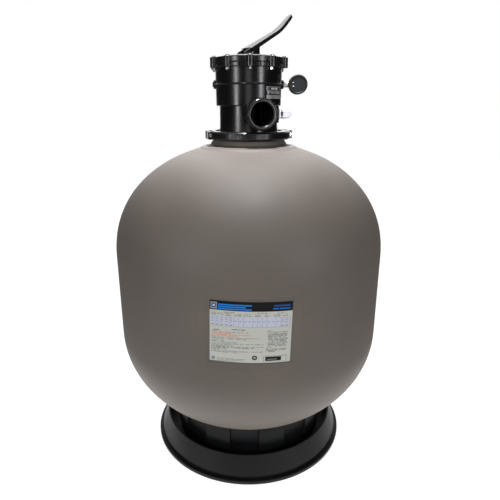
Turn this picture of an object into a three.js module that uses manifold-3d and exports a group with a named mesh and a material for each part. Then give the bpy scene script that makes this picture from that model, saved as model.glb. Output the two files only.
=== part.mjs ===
// A pool sand filter: a moulded tank on a ring base, a clamped top-mount selector valve with its
// lever, pressure gauge and sight glass, and the standpipe and folding laterals inside the tank.
// Millimetres, +Z up. The origin is on the tank's axis, on the floor. Azimuth is measured from -Y
// (the side with the rating label) towards +X.

import * as THREE from 'three';
import { mergeVertices } from 'three/addons/utils/BufferGeometryUtils.js';
import Module from 'manifold-3d';

const wasm = await Module();
wasm.setup();

// ---- driving dimensions ----
const GAP = 0.3;                    // clearance left between pieces that touch
const TANK_R = 311;                 // 24.5 inch tank
const TANK_WALL = 8;
const WALL_LOW = 309.4;             // where the straight wall starts and ends
const WALL_HIGH = 497.1;
const BOTTOM_DOME = { rise: 244.4, power: 2.025 };
const TOP_DOME = { rise: 246.6, power: 2.165 };
const LABEL_AZIMUTH = 0.75;
const RECESS_TURN = 18;             // the label's recess reaches this far each way from it
const RECESS_FACET = 3;
const RECESS_LOW = 343.5;
const RECESS_HIGH = 503;
const RECESS_DEPTH = 3;
const NECK_R = 79.7;
const NECK_BORE_R = 62;
const COLLAR_R = 83;                // flanges held by the clamp
const CLAMP_R = 94;
const CLAMP_LOW = 752.7;
const CLAMP_HIGH = 770.5;
const CLAMP_LIP = 3.3;
const CLAMP_MID = (CLAMP_LOW + CLAMP_HIGH) / 2;
const CLAMP_BOLT_X = 90;
const CLAMP_TURN = 15;              // the clamp's left joint is turned towards the front
const BASE_LIP_R = 239.5;
const BASE_RIM_R = 214;
const BASE_RIM_Z = 60.5;
const SEAT_R = 184;                 // ring of the base that carries the tank
const SEAT_PANELS = 9;
const SEAT_AZIMUTH = 17;
const LOWER_BODY_R = 64.6;
const UPPER_BODY_LOW_R = 72;
const UPPER_BODY_HIGH_R = 73.2;
const UPPER_BODY_Z = 826;
const CHAMBER_R = 66.5;
const SEAT_PLATE_Z = 838;
const RIB_Z = 868;                  // centre height of the rib and of the two gauge bosses
const FLANGE_Z = 900.5;
const JOINT_Z = 911;                // where the cover meets the body
const COVER_Z = 921.4;
const COVER_RIM_Z = 925;
const COVER_FLOOR_Z = 922;
const FLANGE_R = 79;
const LUGS = 10;
const LUG_AZIMUTH = 2.3;
const LUG_PCD_R = 78.3;
const LUG_R = 8.8;
const PORT_Z = 807;
const PORT_R = 32;                  // collar at the port's mouth
const PORT_COLLAR = 18;
const PORT_TUBE_R = 28.5;
const PORT_BORE_R = 23.5;           // 1.5 inch pipe thread
const PORT_REACH = 103;
const PORT_AZIMUTHS = [16, 157, 203];
const SIGHT_Z = 805.3;
const GAUGE_X = 108.5;
const GAUGE_R = 20.75;
const GAUGE_BACK_Y = -10;
const GAUGE_FRONT_Y = 14;
const STEM_R = 7.5;
const PIN_Z = 934.3;                // lever pivot
const PIN_R = 2.2;
const LEVER_TURN = 38;              // lever direction, from +X towards +Y
const LEVER_TILT = 27;              // how far the lever stands up at rest, and its travel
const CAM_RATE = 14.9;              // stem lift per radian of lever travel
const PIPE_R = 25;
const LATERAL_Z = 150;
const LATERALS = 8;
const LATERAL_R = 9;
const LATERAL_PIVOT_R = 50;
const LATERAL_TIP_R = 200;
const DRAIN_Z = 150;
const DRAIN_FACE = 257;             // flat face of the drain boss, behind the tank
const FINE = 48;                    // facets round the tank, its base and the clamp
const MEDIUM = 24;                  // round the valve
const COARSE = 12;
const SMALL = 8;                    // round holes and lugs
const HEX = 6;                      // nuts, and the cover's small screws

const deg = THREE.MathUtils.degToRad;

// ---- materials ----
const finish = (color, roughness, metalness = 0) =>
  new THREE.MeshStandardMaterial({ color, roughness, metalness });
const tankPlastic = finish(0x6b645e, 0.62);
const basePlastic = finish(0x1c1d1f, 0.5);
const valvePlastic = finish(0x151618, 0.28);
const innerPlastic = finish(0x26272a, 0.5);
const pipePlastic = finish(0xe6e6e0, 0.45);
const rubber = finish(0x101010, 0.8);
const steel = finish(0xc9ccd0, 0.3, 1);
const brass = finish(0xb9954a, 0.35, 1);
const paper = finish(0xcfd2dc, 0.6);
const dialWhite = finish(0xf2f2ee, 0.6);
const clear = finish(0xe8f0f4, 0.08);

// ---- solids ----

// Merge shared vertices, drop collapsed triangles and turn the faces outwards.
function weld(source) {
  let geometry = source.clone();
  geometry.deleteAttribute('normal');
  geometry.deleteAttribute('uv');
  geometry = mergeVertices(geometry, 1e-4);
  const index = geometry.index.array;
  const point = geometry.attributes.position;
  const [a, b, c] = [new THREE.Vector3(), new THREE.Vector3(), new THREE.Vector3()];
  const kept = [];
  let volume = 0;
  for (let i = 0; i < index.length; i += 3) {
    const [p, q, r] = [index[i], index[i + 1], index[i + 2]];
    if (p === q || q === r || r === p) continue;
    kept.push(p, q, r);
    a.fromBufferAttribute(point, p);
    b.fromBufferAttribute(point, q);
    c.fromBufferAttribute(point, r);
    volume += a.dot(b.cross(c));
  }
  if (volume < 0) kept.reverse();
  geometry.setIndex(kept);
  return geometry;
}

const solid = (source) => {
  const geometry = weld(source);
  return new wasm.Manifold(new wasm.Mesh({
    numProp: 3,
    vertProperties: Float32Array.from(geometry.attributes.position.array),
    triVerts: Uint32Array.from(geometry.index.array),
  }));
};

const toGeometry = (shape) => {
  const mesh = shape.getMesh();
  const geometry = new THREE.BufferGeometry();
  geometry.setAttribute('position', new THREE.BufferAttribute(mesh.vertProperties, 3));
  geometry.setIndex(new THREE.BufferAttribute(mesh.triVerts, 1));
  return geometry;
};

const join = (first, ...others) => others.reduce((sum, next) => sum.add(next), first);
const cut = (first, ...others) => others.reduce((rest, next) => rest.subtract(next), first);

// A turned solid about Z. The profile is [radius, height] points; it closes on itself, or starts
// and ends on the axis.
function turned(profile, segments) {
  const points = profile.map(([r, z]) => new THREE.Vector2(r, z));
  const onAxis = profile[0][0] === 0;
  if (!onAxis) points.push(points[0].clone());
  return weld(new THREE.LatheGeometry(points, segments).rotateX(Math.PI / 2));
}

const rod = (r, low, high, segments = COARSE) =>
  turned([[0, low], [r, low], [r, high], [0, high]], segments);

const ring = (inner, outer, low, high, segments = MEDIUM) =>
  turned([[inner, low], [outer, low], [outer, high], [inner, high]], segments);

// A ring of round section, for the seals.
function roundRing(radius, section, z) {
  const sides = 5;
  const points = [];
  for (let i = 0; i < sides; i++) {
    const turn = (2 * Math.PI * i) / sides;
    points.push([radius + section * Math.cos(turn), z + section * Math.sin(turn)]);
  }
  return turned(points, MEDIUM);
}

const block = (x0, x1, y0, y1, z0, z1) =>
  new THREE.BoxGeometry(x1 - x0, y1 - y0, z1 - z0)
    .translate((x0 + x1) / 2, (y0 + y1) / 2, (z0 + z1) / 2);

// Lay a solid made about +Z down, so that its axis points along an azimuth at a height.
const laid = (geometry, azimuth, z) =>
  geometry.rotateX(Math.PI / 2).rotateZ(deg(azimuth)).translate(0, 0, z);

const atAzimuth = (geometry, radius, azimuth) =>
  geometry.translate(radius * Math.sin(deg(azimuth)), -radius * Math.cos(deg(azimuth)), 0);

// A side-view outline in X and Z, given its width in Y.
const sideways = (shape, y0, y1) =>
  new THREE.ExtrudeGeometry(shape, { depth: y1 - y0, bevelEnabled: false, curveSegments: 6 })
    .rotateX(Math.PI / 2)
    .translate(0, y1, 0);

const outline = (points) => new THREE.Shape(points.map(([x, y]) => new THREE.Vector2(x, y)));

// A thin curved plate on a turned wall, between two azimuths that fall on facet corners.
function skin(radius, thickness, from, to, low, high, facet) {
  const corners = [];
  for (let a = from; a <= to + 1e-6; a += facet) corners.push(a);
  const at = (r, a) => [r * Math.sin(deg(a)), -r * Math.cos(deg(a))];
  const inner = corners.map((a) => at(radius, a));
  const outer = corners.map((a) => at(radius + thickness, a)).reverse();
  return new THREE.ExtrudeGeometry(outline([...inner, ...outer]), {
    depth: high - low,
    bevelEnabled: false,
  }).translate(0, 0, low);
}

const filter = new THREE.Group();

function add(name, geometry, material) {
  const mesh = new THREE.Mesh(geometry, material);
  mesh.name = name;
  filter.add(mesh);
}

// ---- tank ----

// Points of a superellipse dome, from the straight wall towards the axis.
function dome({ rise, power }, wallZ, up, shrink, lastTurn, steps) {
  const points = [];
  for (let i = 0; i <= steps; i++) {
    const turn = (lastTurn * i) / steps;
    const r = (TANK_R - shrink) * Math.cos(turn) ** (2 / power);
    const z = (rise - shrink) * Math.sin(turn) ** (2 / power);
    points.push([r, wallZ + up * z]);
  }
  return points;
}

// Height of the tank's underside at a radius.
const undersideZ = (r) =>
  WALL_LOW - BOTTOM_DOME.rise * (1 - (r / TANK_R) ** BOTTOM_DOME.power) ** (1 / BOTTOM_DOME.power);

function tank() {
  const steps = 6;
  const padTurn = 1.16;              // the dome stops here, at the raised pad round the neck
  const innerTurn = 1.33;
  const bottom = dome(BOTTOM_DOME, WALL_LOW, -1, 0, Math.PI / 2, steps).reverse();
  bottom[0][0] = 0;
  const inside = dome(BOTTOM_DOME, WALL_LOW, -1, TANK_WALL, Math.PI / 2, steps);
  inside[steps][0] = 0;
  const collarLow = CLAMP_LOW + CLAMP_LIP + GAP;
  const collarTop = 761.5;
  const sealBevel = 7.5;             // the seal sits on this bevel, under the valve's flange
  const profile = [
    ...bottom,
    ...dome(TOP_DOME, WALL_HIGH, 1, 0, padTurn, steps),
    [108, 735],
    [86, 741],
    [NECK_R, 745.5],
    [NECK_R, CLAMP_LOW - GAP],
    [75, CLAMP_LOW - GAP],
    [75, collarLow],
    [COLLAR_R, collarLow],
    [COLLAR_R, collarTop],
    [NECK_BORE_R + sealBevel, collarTop],
    [NECK_BORE_R, collarTop - 0.75 * sealBevel],
    [NECK_BORE_R, 729],
    ...dome(TOP_DOME, WALL_HIGH, 1, TANK_WALL, innerTurn, steps).reverse(),
    ...inside,
  ];
  const gussetWidth = 5;
  const gusset = (side) => solid(sideways(outline([
    [side * 76, 751],
    [side * 78.8, 751],
    [side * 88, 738],
    [side * 76, 738],
  ]), -gussetWidth / 2, gussetWidth / 2));
  const drainBoss = solid(laid(rod(22, 232, DRAIN_FACE, COARSE), 180, DRAIN_Z));
  const drainHole = solid(laid(rod(14, 205, DRAIN_FACE + 1, COARSE), 180, DRAIN_Z));
  const shell = join(solid(turned(profile, FINE)), gusset(1), gusset(-1), drainBoss);
  const labelRecess = solid(skin(
    TANK_R - RECESS_DEPTH, 6, LABEL_AZIMUTH - RECESS_TURN, LABEL_AZIMUTH + RECESS_TURN,
    RECESS_LOW, RECESS_HIGH, RECESS_FACET,
  ));
  return toGeometry(cut(shell, drainHole, labelRecess));
}

function drain() {
  const sealFace = DRAIN_FACE + GAP;
  const flange = sealFace + 2 + GAP;
  const flangeTop = flange + 4;
  const mouth = flangeTop + 14;
  const body = turned([
    [8, 214], [13.6, 214], [13.6, flange], [19, flange], [19, flangeTop], [12, flangeTop],
    [12, mouth], [8, mouth],
  ], COARSE);
  add('drain_spud', laid(body, 180, DRAIN_Z), basePlastic);
  add('drain_gasket', laid(ring(14, 18.5, sealFace, sealFace + 2, COARSE), 180, DRAIN_Z), rubber);
  const cap = turned([
    [0, mouth + GAP], [12.4, mouth + GAP], [12.4, flangeTop + GAP], [19, flangeTop + GAP],
    [19, mouth + 5], [0, mouth + 5],
  ], COARSE);
  add('drain_cap', laid(cap, 180, DRAIN_Z), basePlastic);
}

// ---- base ----

function base() {
  const wall = 4;
  const seatTop = undersideZ(SEAT_R - wall) - 2 * GAP;
  const webZ = 13;
  const shell = turned([
    [BASE_LIP_R - 7, 0],
    [BASE_LIP_R, 0],
    [BASE_LIP_R, 8],
    [BASE_LIP_R - 3, 10],
    [BASE_LIP_R - 7, 10],
    [BASE_LIP_R - 9, 14],
    [BASE_RIM_R, BASE_RIM_Z],
    [BASE_RIM_R - wall, BASE_RIM_Z],
    [BASE_LIP_R - 15, webZ + wall],
    [SEAT_R, webZ + wall],
    [SEAT_R, seatTop],
    [SEAT_R - wall, seatTop],
    [SEAT_R - wall, webZ],
    [BASE_LIP_R - 7, webZ - wall],
  ], FINE);
  const panelWidth = 62;
  const panelOut = 6;
  const panels = [];
  for (let i = 0; i < SEAT_PANELS; i++) {
    const panel = block(
      -panelWidth / 2, panelWidth / 2, -SEAT_R - panelOut, -SEAT_R + wall / 2, 47, seatTop,
    );
    panels.push(solid(panel.rotateZ(deg(SEAT_AZIMUTH + (360 / SEAT_PANELS) * i))));
  }
  const inside = solid(rod(SEAT_R - wall / 2, -1, seatTop + 5, FINE));
  const seatLine = solid(rod(SEAT_R + panelOut, -1, seatTop + 5, FINE));
  const trimmed = panels.map((panel) => panel.intersect(seatLine).subtract(inside));
  return toGeometry(join(solid(shell), ...trimmed));
}

// ---- clamp ----

function clampHalf(side) {
  const throat = 75.6;
  const grooveR = COLLAR_R + GAP;
  const lugX = 96;
  const lugY = 24;
  const split = 0.5;
  const hoop = solid(turned([
    [throat, CLAMP_LOW],
    [CLAMP_R, CLAMP_LOW],
    [CLAMP_R, CLAMP_HIGH],
    [throat, CLAMP_HIGH],
    [throat, CLAMP_HIGH - CLAMP_LIP],
    [grooveR, CLAMP_HIGH - CLAMP_LIP],
    [grooveR, CLAMP_LOW + CLAMP_LIP],
    [throat, CLAMP_LOW + CLAMP_LIP],
  ], FINE));
  const bore = solid(rod(grooveR, CLAMP_LOW - 1, CLAMP_HIGH + 1, FINE));
  const lugs = solid(block(-lugX, lugX, -lugY, lugY, CLAMP_LOW, CLAMP_HIGH)).subtract(bore);
  const far = 2 * CLAMP_R;
  const ownHalf = side < 0
    ? solid(block(-far, far, -far, -split, 0, 2 * CLAMP_HIGH))
    : solid(block(-far, far, split, far, 0, 2 * CLAMP_HIGH));
  const boltHole = rod(3.6, -2 * lugY, 2 * lugY, SMALL).rotateX(Math.PI / 2);
  const holes = [-1, 1].map((hand) =>
    solid(boltHole.clone().translate(hand * CLAMP_BOLT_X, 0, CLAMP_MID)));
  const pocketHalf = 5.6;
  const pocketDepth = 5;
  const pocket = (hand) => solid(block(
    hand * CLAMP_BOLT_X - pocketHalf, hand * CLAMP_BOLT_X + pocketHalf,
    side < 0 ? -lugY - 1 : lugY - pocketDepth, side < 0 ? -lugY + pocketDepth : lugY + 1,
    CLAMP_MID - pocketHalf, CLAMP_MID + pocketHalf,
  ));
  const half = cut(join(hoop, lugs).intersect(ownHalf), ...holes, pocket(1), pocket(-1));
  return toGeometry(half).rotateZ(deg(CLAMP_TURN));
}

function clampFasteners() {
  for (const [name, hand] of [['left', -1], ['right', 1]]) {
    const bolt = turned([
      [0, -28], [3.2, -28], [3.2, 19.3], [5.2, 19.3], [5.2, 23.6], [0, 23.6],
    ], SMALL);
    const turn = hand < 0 ? Math.PI / 2 : -Math.PI / 2;
    const placed = (geometry) =>
      geometry.rotateX(turn).translate(hand * CLAMP_BOLT_X, 0, CLAMP_MID).rotateZ(deg(CLAMP_TURN));
    add(`clamp_bolt_${name}`, placed(bolt), steel);
    add(`clamp_nut_${name}`, placed(ring(4, 5.6, -24, -19.3, HEX)), steel);
  }
}

// ---- valve body and cover ----

function lugRing(low, high) {
  const lugs = [];
  for (let i = 0; i < LUGS; i++) {
    const azimuth = LUG_AZIMUTH + (360 / LUGS) * i;
    lugs.push(solid(atAzimuth(rod(LUG_R, low, high, SMALL), LUG_PCD_R, azimuth)));
  }
  return lugs;
}

function screwHoles(low, high) {
  const holes = [];
  for (let i = 0; i < LUGS; i++) {
    const azimuth = LUG_AZIMUTH + (360 / LUGS) * i;
    holes.push(solid(atAzimuth(rod(3.2, low, high, HEX), LUG_PCD_R, azimuth)));
  }
  return holes;
}

function valveBody() {
  const wall = 4.6;
  const flangeLow = 761.8;
  const flangeHigh = CLAMP_HIGH - CLAMP_LIP - GAP;
  const shell = solid(turned([
    [NECK_BORE_R - GAP, 746],
    [NECK_BORE_R - GAP, flangeLow],
    [COLLAR_R, flangeLow],
    [COLLAR_R, flangeHigh],
    [LOWER_BODY_R + 3, flangeHigh],
    [LOWER_BODY_R, 773],
    [LOWER_BODY_R, 823],
    [UPPER_BODY_LOW_R, UPPER_BODY_Z],
    [UPPER_BODY_HIGH_R - 0.5, RIB_Z - 1.2],
    [UPPER_BODY_HIGH_R + 1.6, RIB_Z - 1.2],
    [UPPER_BODY_HIGH_R + 1.6, RIB_Z + 1.2],
    [UPPER_BODY_HIGH_R, RIB_Z + 1.2],
    [UPPER_BODY_HIGH_R, FLANGE_Z],
    [FLANGE_R, FLANGE_Z],
    [FLANGE_R, JOINT_Z],
    [CHAMBER_R, JOINT_Z],
    [CHAMBER_R, SEAT_PLATE_Z + 5],
    [PIPE_R + GAP + 4, SEAT_PLATE_Z + 5],
    [PIPE_R + GAP, SEAT_PLATE_Z + 5],
    [PIPE_R + GAP, 746],
    [PIPE_R + GAP + 4, 746],
    [PIPE_R + GAP + 4, SEAT_PLATE_Z],
    [LOWER_BODY_R - wall, SEAT_PLATE_Z],
    [LOWER_BODY_R - wall, 770],
    [NECK_BORE_R - GAP - 4, 760],
    [NECK_BORE_R - GAP - 4, 746],
  ], MEDIUM));
  const portFacets = 16;
  const portTube = turned([
    [0, 45], [PORT_TUBE_R, 45], [PORT_TUBE_R, PORT_REACH - PORT_COLLAR - 1],
    [PORT_R, PORT_REACH - PORT_COLLAR], [PORT_R, PORT_REACH], [0, PORT_REACH],
  ], portFacets);
  const waterway = solid(rod(LOWER_BODY_R - wall - 0.1, 772, SEAT_PLATE_Z - 1, MEDIUM));
  const pipeWall = solid(ring(PIPE_R + GAP, PIPE_R + GAP + 4, 746, SEAT_PLATE_Z + 1));
  const tubes = [];
  const bores = [];
  for (const azimuth of PORT_AZIMUTHS) {
    tubes.push(solid(laid(portTube.clone(), azimuth, PORT_Z)));
    bores.push(solid(laid(rod(PORT_BORE_R, 40, PORT_REACH + 1, portFacets), azimuth, PORT_Z)));
  }
  const boss = (azimuth) => solid(laid(rod(9, 68, 77, COARSE), azimuth, RIB_Z));
  const bossHole = (azimuth) => solid(laid(rod(5.5, 60, 78, COARSE), azimuth, RIB_Z));
  const sightBlock = solid(block(52, 67, -18, 18, SIGHT_Z - 18, SIGHT_Z + 18));
  const sightHole = solid(laid(turned([
    [0, 50], [6, 50], [6, 60], [9.7, 60], [9.7, 68], [0, 68],
  ], COARSE), 90, SIGHT_Z));
  const windows = [];
  const windowCount = 6;
  for (let i = 0; i < windowCount; i++) {
    const window = rod(10, SEAT_PLATE_Z - 1, SEAT_PLATE_Z + 6, SMALL);
    windows.push(solid(atAzimuth(window, 46, (360 / windowCount) * i)));
  }
  const webs = [70, 180, 290].map((azimuth) => solid(
    block(-1.5, 1.5, -62, -PIPE_R - 2, 772, SEAT_PLATE_Z + 1).rotateZ(deg(azimuth)),
  ));
  const outside = cut(join(shell, ...tubes, sightBlock, boss(90), boss(-90)), waterway);
  const inside = join(outside, pipeWall, ...webs, ...lugRing(FLANGE_Z, JOINT_Z));
  const open = cut(inside, ...bores, sightHole, bossHole(90), bossHole(-90), ...windows);
  const sealGroove = solid(ring(68.3, 71.9, JOINT_Z - 3.4, JOINT_Z + 1));
  return toGeometry(cut(open, ...screwHoles(FLANGE_Z - 1, JOINT_Z + 1), sealGroove));
}

function valveCover() {
  const low = JOINT_Z + GAP;
  const boreR = STEM_R + 0.6;
  const shell = solid(turned([
    [14, 897],
    [14, low],
    [FLANGE_R, low],
    [FLANGE_R, COVER_Z],
    [67, COVER_Z],
    [67, COVER_Z + 1.4],
    [63, COVER_RIM_Z - 0.6],
    [59, COVER_RIM_Z],
    [53, COVER_RIM_Z],
    [51, COVER_FLOOR_Z],
    [boreR, COVER_FLOOR_Z],
    [boreR, 908.2],
    [11, 908.2],
    [11, 904.8],
    [boreR, 904.8],
    [boreR, 897],
  ], MEDIUM));
  return toGeometry(cut(join(shell, ...lugRing(low, COVER_Z)), ...screwHoles(low - 1, COVER_Z + 1)));
}

function coverScrews() {
  const screw = turned([
    [0, 895], [4.3, 895], [4.3, FLANGE_Z - GAP], [2.5, FLANGE_Z - GAP], [2.5, COVER_Z + GAP],
    [4.3, COVER_Z + GAP], [4.3, COVER_Z + 3.8], [0, COVER_Z + 3.8],
  ], HEX);
  for (let i = 0; i < LUGS; i++) {
    const azimuth = LUG_AZIMUTH + (360 / LUGS) * i;
    const number = String(i + 1).padStart(2, '0');
    add(`cover_screw_${number}`, atAzimuth(screw.clone(), LUG_PCD_R, azimuth), steel);
  }
}

// ---- selector: diverter, spring, stem and lever ----

function diverter() {
  const low = SEAT_PLATE_Z + 8.3;
  const rotor = solid(turned([
    [0, low], [62, low], [62, low + 14], [58, low + 14], [58, low + 6], [13, low + 6],
    [13, 882], [STEM_R + GAP, 882], [STEM_R + GAP, low + 10], [0, low + 10],
  ], MEDIUM));
  const windows = [-28, 28].map((azimuth) =>
    solid(atAzimuth(rod(12, low - 1, low + 7, SMALL), 42, azimuth + 90)));
  return toGeometry(cut(rotor, ...windows));
}

function gasket() {
  const low = SEAT_PLATE_Z + 5 + GAP;
  const disc = solid(ring(30, 64, low, low + 2.7));
  const windows = [];
  const count = 6;
  for (let i = 0; i < count; i++) {
    windows.push(solid(atAzimuth(rod(11, low - 1, low + 4, SMALL), 46, (360 / count) * i)));
  }
  return toGeometry(cut(disc, ...windows));
}

class Helix extends THREE.Curve {
  constructor(radius, low, high, turns) {
    super();
    Object.assign(this, { radius, low, high, turns });
  }

  getPoint(t, target = new THREE.Vector3()) {
    const turn = 2 * Math.PI * this.turns * t;
    return target.set(
      this.radius * Math.cos(turn),
      this.radius * Math.sin(turn),
      this.low + (this.high - this.low) * t,
    );
  }
}

function spring() {
  const wire = 1.6;
  const turns = 4;
  const path = new Helix(19, SEAT_PLATE_Z + 8.3 + 6 + wire + 0.6, JOINT_Z - wire - 0.4, turns);
  const section = new THREE.Shape().absarc(0, 0, wire, 0, 2 * Math.PI);
  return weld(new THREE.ExtrudeGeometry(section, {
    steps: turns * 10,
    curveSegments: 3,
    extrudePath: path,
    bevelEnabled: false,
  }));
}

const turnedToLever = (geometry) => geometry.rotateZ(deg(LEVER_TURN));

// The stem's top is flat between the lever's ears and round over the pin.
function keyStem() {
  const flatHalf = 5.5;
  const flatZ = 925.5;
  const round = solid(rod(STEM_R, 857, flatZ, MEDIUM));
  const tab = solid(block(-flatHalf, flatHalf, -7, 7, flatZ - 1, PIN_Z));
  const crown = solid(rod(flatHalf, -7, 7, 16).rotateX(Math.PI / 2).translate(0, 0, PIN_Z));
  const hole = solid(rod(PIN_R + GAP, -9, 9, SMALL).rotateX(Math.PI / 2).translate(0, 0, PIN_Z));
  return turnedToLever(toGeometry(cut(join(round, tab, crown), hole)));
}

// The cam under the lever is an involute, so that the stem rises in proportion to the lever's
// travel: its distance from the pin in the direction turned by t is camLow + CAM_RATE * t.
function camPoints(camLow) {
  const points = [];
  const steps = 6;
  for (let i = 0; i <= steps; i++) {
    const t = (deg(LEVER_TILT) * i) / steps;
    const reach = camLow + CAM_RATE * t;
    points.push([
      reach * Math.sin(t) + CAM_RATE * Math.cos(t),
      -reach * Math.cos(t) + CAM_RATE * Math.sin(t),
    ]);
  }
  return points;
}

// The lever is drawn with its pin at the origin, reaching along +X and up, then turned and placed.
function lever() {
  const washerTop = COVER_FLOOR_Z + GAP + 2;
  const camLow = PIN_Z - washerTop - GAP;
  const lowTurn = deg(LEVER_TILT);    // the arm's slope before and after its bend
  const highTurn = deg(42.9);
  const topAt = (x) => 10.1 + Math.tan(lowTurn) * x;
  const heelX = -20.6;
  const bendX = 83.3;
  const bendRun = 14;
  const highAt = (x) => topAt(bendX) + Math.tan(highTurn) * (x - bendX);
  const tipX = 119.5;
  const [hubHalf, bendHalf, tipHalf] = [19, 10.5, 6.5];
  const earOut = 14;
  const earIn = 8;
  const skirt = 7.5;
  const plate = 3.4;
  const wide = 40;                    // past the lever's sides, for shapes that are trimmed

  // Side view of the arm: the top line with its bend, and the same line lowered by a depth.
  const lowered = (x, z, turn, depth) => [x + depth * Math.sin(turn), z - depth * Math.cos(turn)];
  const arm = (depth, from, endX) => {
    const [beforeX, afterX] = [bendX - bendRun, bendX + bendRun];
    const shape = new THREE.Shape();
    shape.moveTo(from, topAt(from));
    shape.lineTo(beforeX, topAt(beforeX));
    shape.quadraticCurveTo(bendX, topAt(bendX), afterX, highAt(afterX));
    shape.lineTo(endX, highAt(endX));
    shape.lineTo(...lowered(endX, highAt(endX), highTurn, 0.8 * depth));
    shape.lineTo(...lowered(afterX, highAt(afterX), highTurn, depth));
    shape.quadraticCurveTo(
      ...lowered(bendX, topAt(bendX), (lowTurn + highTurn) / 2, depth),
      ...lowered(beforeX, topAt(beforeX), lowTurn, depth),
    );
    shape.lineTo(from, topAt(from) - depth / Math.cos(lowTurn));
    return shape;
  };
  const plan = (inset, from, to) => outline([
    [from, -hubHalf + inset], [bendX, -bendHalf + inset], [to - 4, -tipHalf + inset],
    [to, (-tipHalf + inset) / 2], [to, (tipHalf - inset) / 2],
    [to - 4, tipHalf - inset], [bendX, bendHalf - inset], [from, hubHalf - inset],
  ]);
  const upright = (shape) =>
    new THREE.ExtrudeGeometry(shape, { depth: 200, bevelEnabled: false }).translate(0, 0, -60);
  const full = solid(sideways(arm(skirt, -2, tipX), -wide, wide))
    .intersect(solid(upright(plan(0, -2, tipX + 4.5))));
  const hollow = solid(sideways(arm(skirt + 8, 6, tipX - 6), -wide, wide).translate(0, 0, -plate))
    .intersect(solid(upright(plan(3, 3, tipX - 2.5))));
  const ear = [
    [heelX, -camLow],
    ...camPoints(camLow),
    [19.5, topAt(19.5) - 1],
    [-2, topAt(-2)],
    [heelX, topAt(heelX)],
  ];
  const slot = solid(block(-wide, 12, -earIn, earIn, -20, topAt(0) - plate));
  const ears = solid(sideways(outline(ear), -earOut, earOut)).subtract(slot);
  const stemRoom = solid(rod(6, -earIn, earIn, 16).rotateX(Math.PI / 2));
  const between = solid(block(-wide, 24, -earIn, earIn, -20, 3));
  const pinHole = solid(rod(PIN_R + GAP, -wide, wide, SMALL).rotateX(Math.PI / 2));
  const whole = cut(join(full.subtract(hollow), ears), stemRoom, between, pinHole);
  return turnedToLever(toGeometry(whole)).translate(0, 0, PIN_Z);
}

function selector() {
  add('spider_gasket', gasket(), rubber);
  add('diverter', diverter(), innerPlastic);
  add('diverter_spring', spring(), steel);
  add('key_stem', keyStem(), innerPlastic);
  add('stem_oring', roundRing(9.4, 1.2, 906.5), rubber);
  add('wear_washer', ring(9, 24, COVER_FLOOR_Z + GAP, COVER_FLOOR_Z + GAP + 2), pipePlastic);
  add('lever', lever(), valvePlastic);
  const pin = rod(PIN_R, -14.5, 14.5, SMALL).rotateX(Math.PI / 2).translate(0, 0, PIN_Z);
  add('lever_pin', turnedToLever(pin), steel);
}

// ---- gauge and sight glass ----

const gaugeTurned = (profile) =>
  turned(profile, MEDIUM).rotateX(-Math.PI / 2).translate(GAUGE_X, 0, RIB_Z);

function gauge() {
  const wall = 1.6;
  const dialY = 8;
  add('gauge_case', gaugeTurned([
    [0, GAUGE_BACK_Y],
    [GAUGE_R - 1.5, GAUGE_BACK_Y],
    [GAUGE_R, GAUGE_BACK_Y + 1.5],
    [GAUGE_R, GAUGE_FRONT_Y],
    [GAUGE_R - wall, GAUGE_FRONT_Y],
    [GAUGE_R - wall, GAUGE_BACK_Y + 2],
    [0, GAUGE_BACK_Y + 2],
  ]), valvePlastic);
  add('gauge_dial', gaugeTurned([[0, dialY], [18.8, dialY], [18.8, dialY + 0.8], [0, dialY + 0.8]]),
    dialWhite);
  add('gauge_lens', gaugeTurned([[0, 12], [18.8, 12], [18.8, 13.6], [0, 13.6]]), clear);
  const hub = solid(rod(1.8, dialY + 1.1, dialY + 2.4).rotateX(-Math.PI / 2));
  const needle = solid(block(-0.7, 0.7, dialY + 1.2, dialY + 2, -15, 4));
  add('gauge_pointer', toGeometry(join(hub, needle).rotate([0, -45, 0]))
    .translate(GAUGE_X, 0, RIB_Z), rubber);
  const nipple = turned([
    [2, 68], [5.2, 68], [5.2, 82], [6.4, 82], [6.4, 87.2], [2, 87.2],
  ], COARSE);
  add('gauge_nipple', laid(nipple, 90, RIB_Z), brass);
  const plug = turned([[0, 68], [5.2, 68], [5.2, 77.3], [5.8, 77.3], [5.8, 79.5], [0, 79.5]], COARSE);
  add('gauge_port_plug', laid(plug, -90, RIB_Z), valvePlastic);
  const back = GAUGE_BACK_Y - 1.4;
  for (const [name, z] of [['upper', 4], ['lower', -4]]) {
    const screw = turned([[0, back], [1.6, back], [1.6, GAUGE_BACK_Y - GAP], [0, GAUGE_BACK_Y - GAP]], 8);
    screw.rotateX(-Math.PI / 2).translate(GAUGE_X - 11, 0, RIB_Z + z);
    add(`gauge_case_screw_${name}`, screw, steel);
  }
}

function sightGlass() {
  const outerR = 9.35;
  const innerR = 7.3;
  const tipX = 95.7;
  const round = (r, x) => {
    const points = [];
    const steps = 4;
    for (let i = 0; i <= steps; i++) {
      const turn = (Math.PI / 2) * (i / steps);
      points.push([i === steps ? 0 : r * Math.cos(turn), x + r * Math.sin(turn)]);
    }
    return points;
  };
  const glass = turned([
    ...round(innerR, tipX - outerR).reverse(),
    [innerR, 62.3],
    [outerR, 62.3],
    ...round(outerR, tipX - outerR),
  ], COARSE);
  add('sight_glass', laid(glass, 90, SIGHT_Z), clear);
  add('sight_glass_gasket', laid(ring(6.3, 9.2, 60.3, 62, COARSE), 90, SIGHT_Z), rubber);
}

// ---- inside the tank ----

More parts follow.
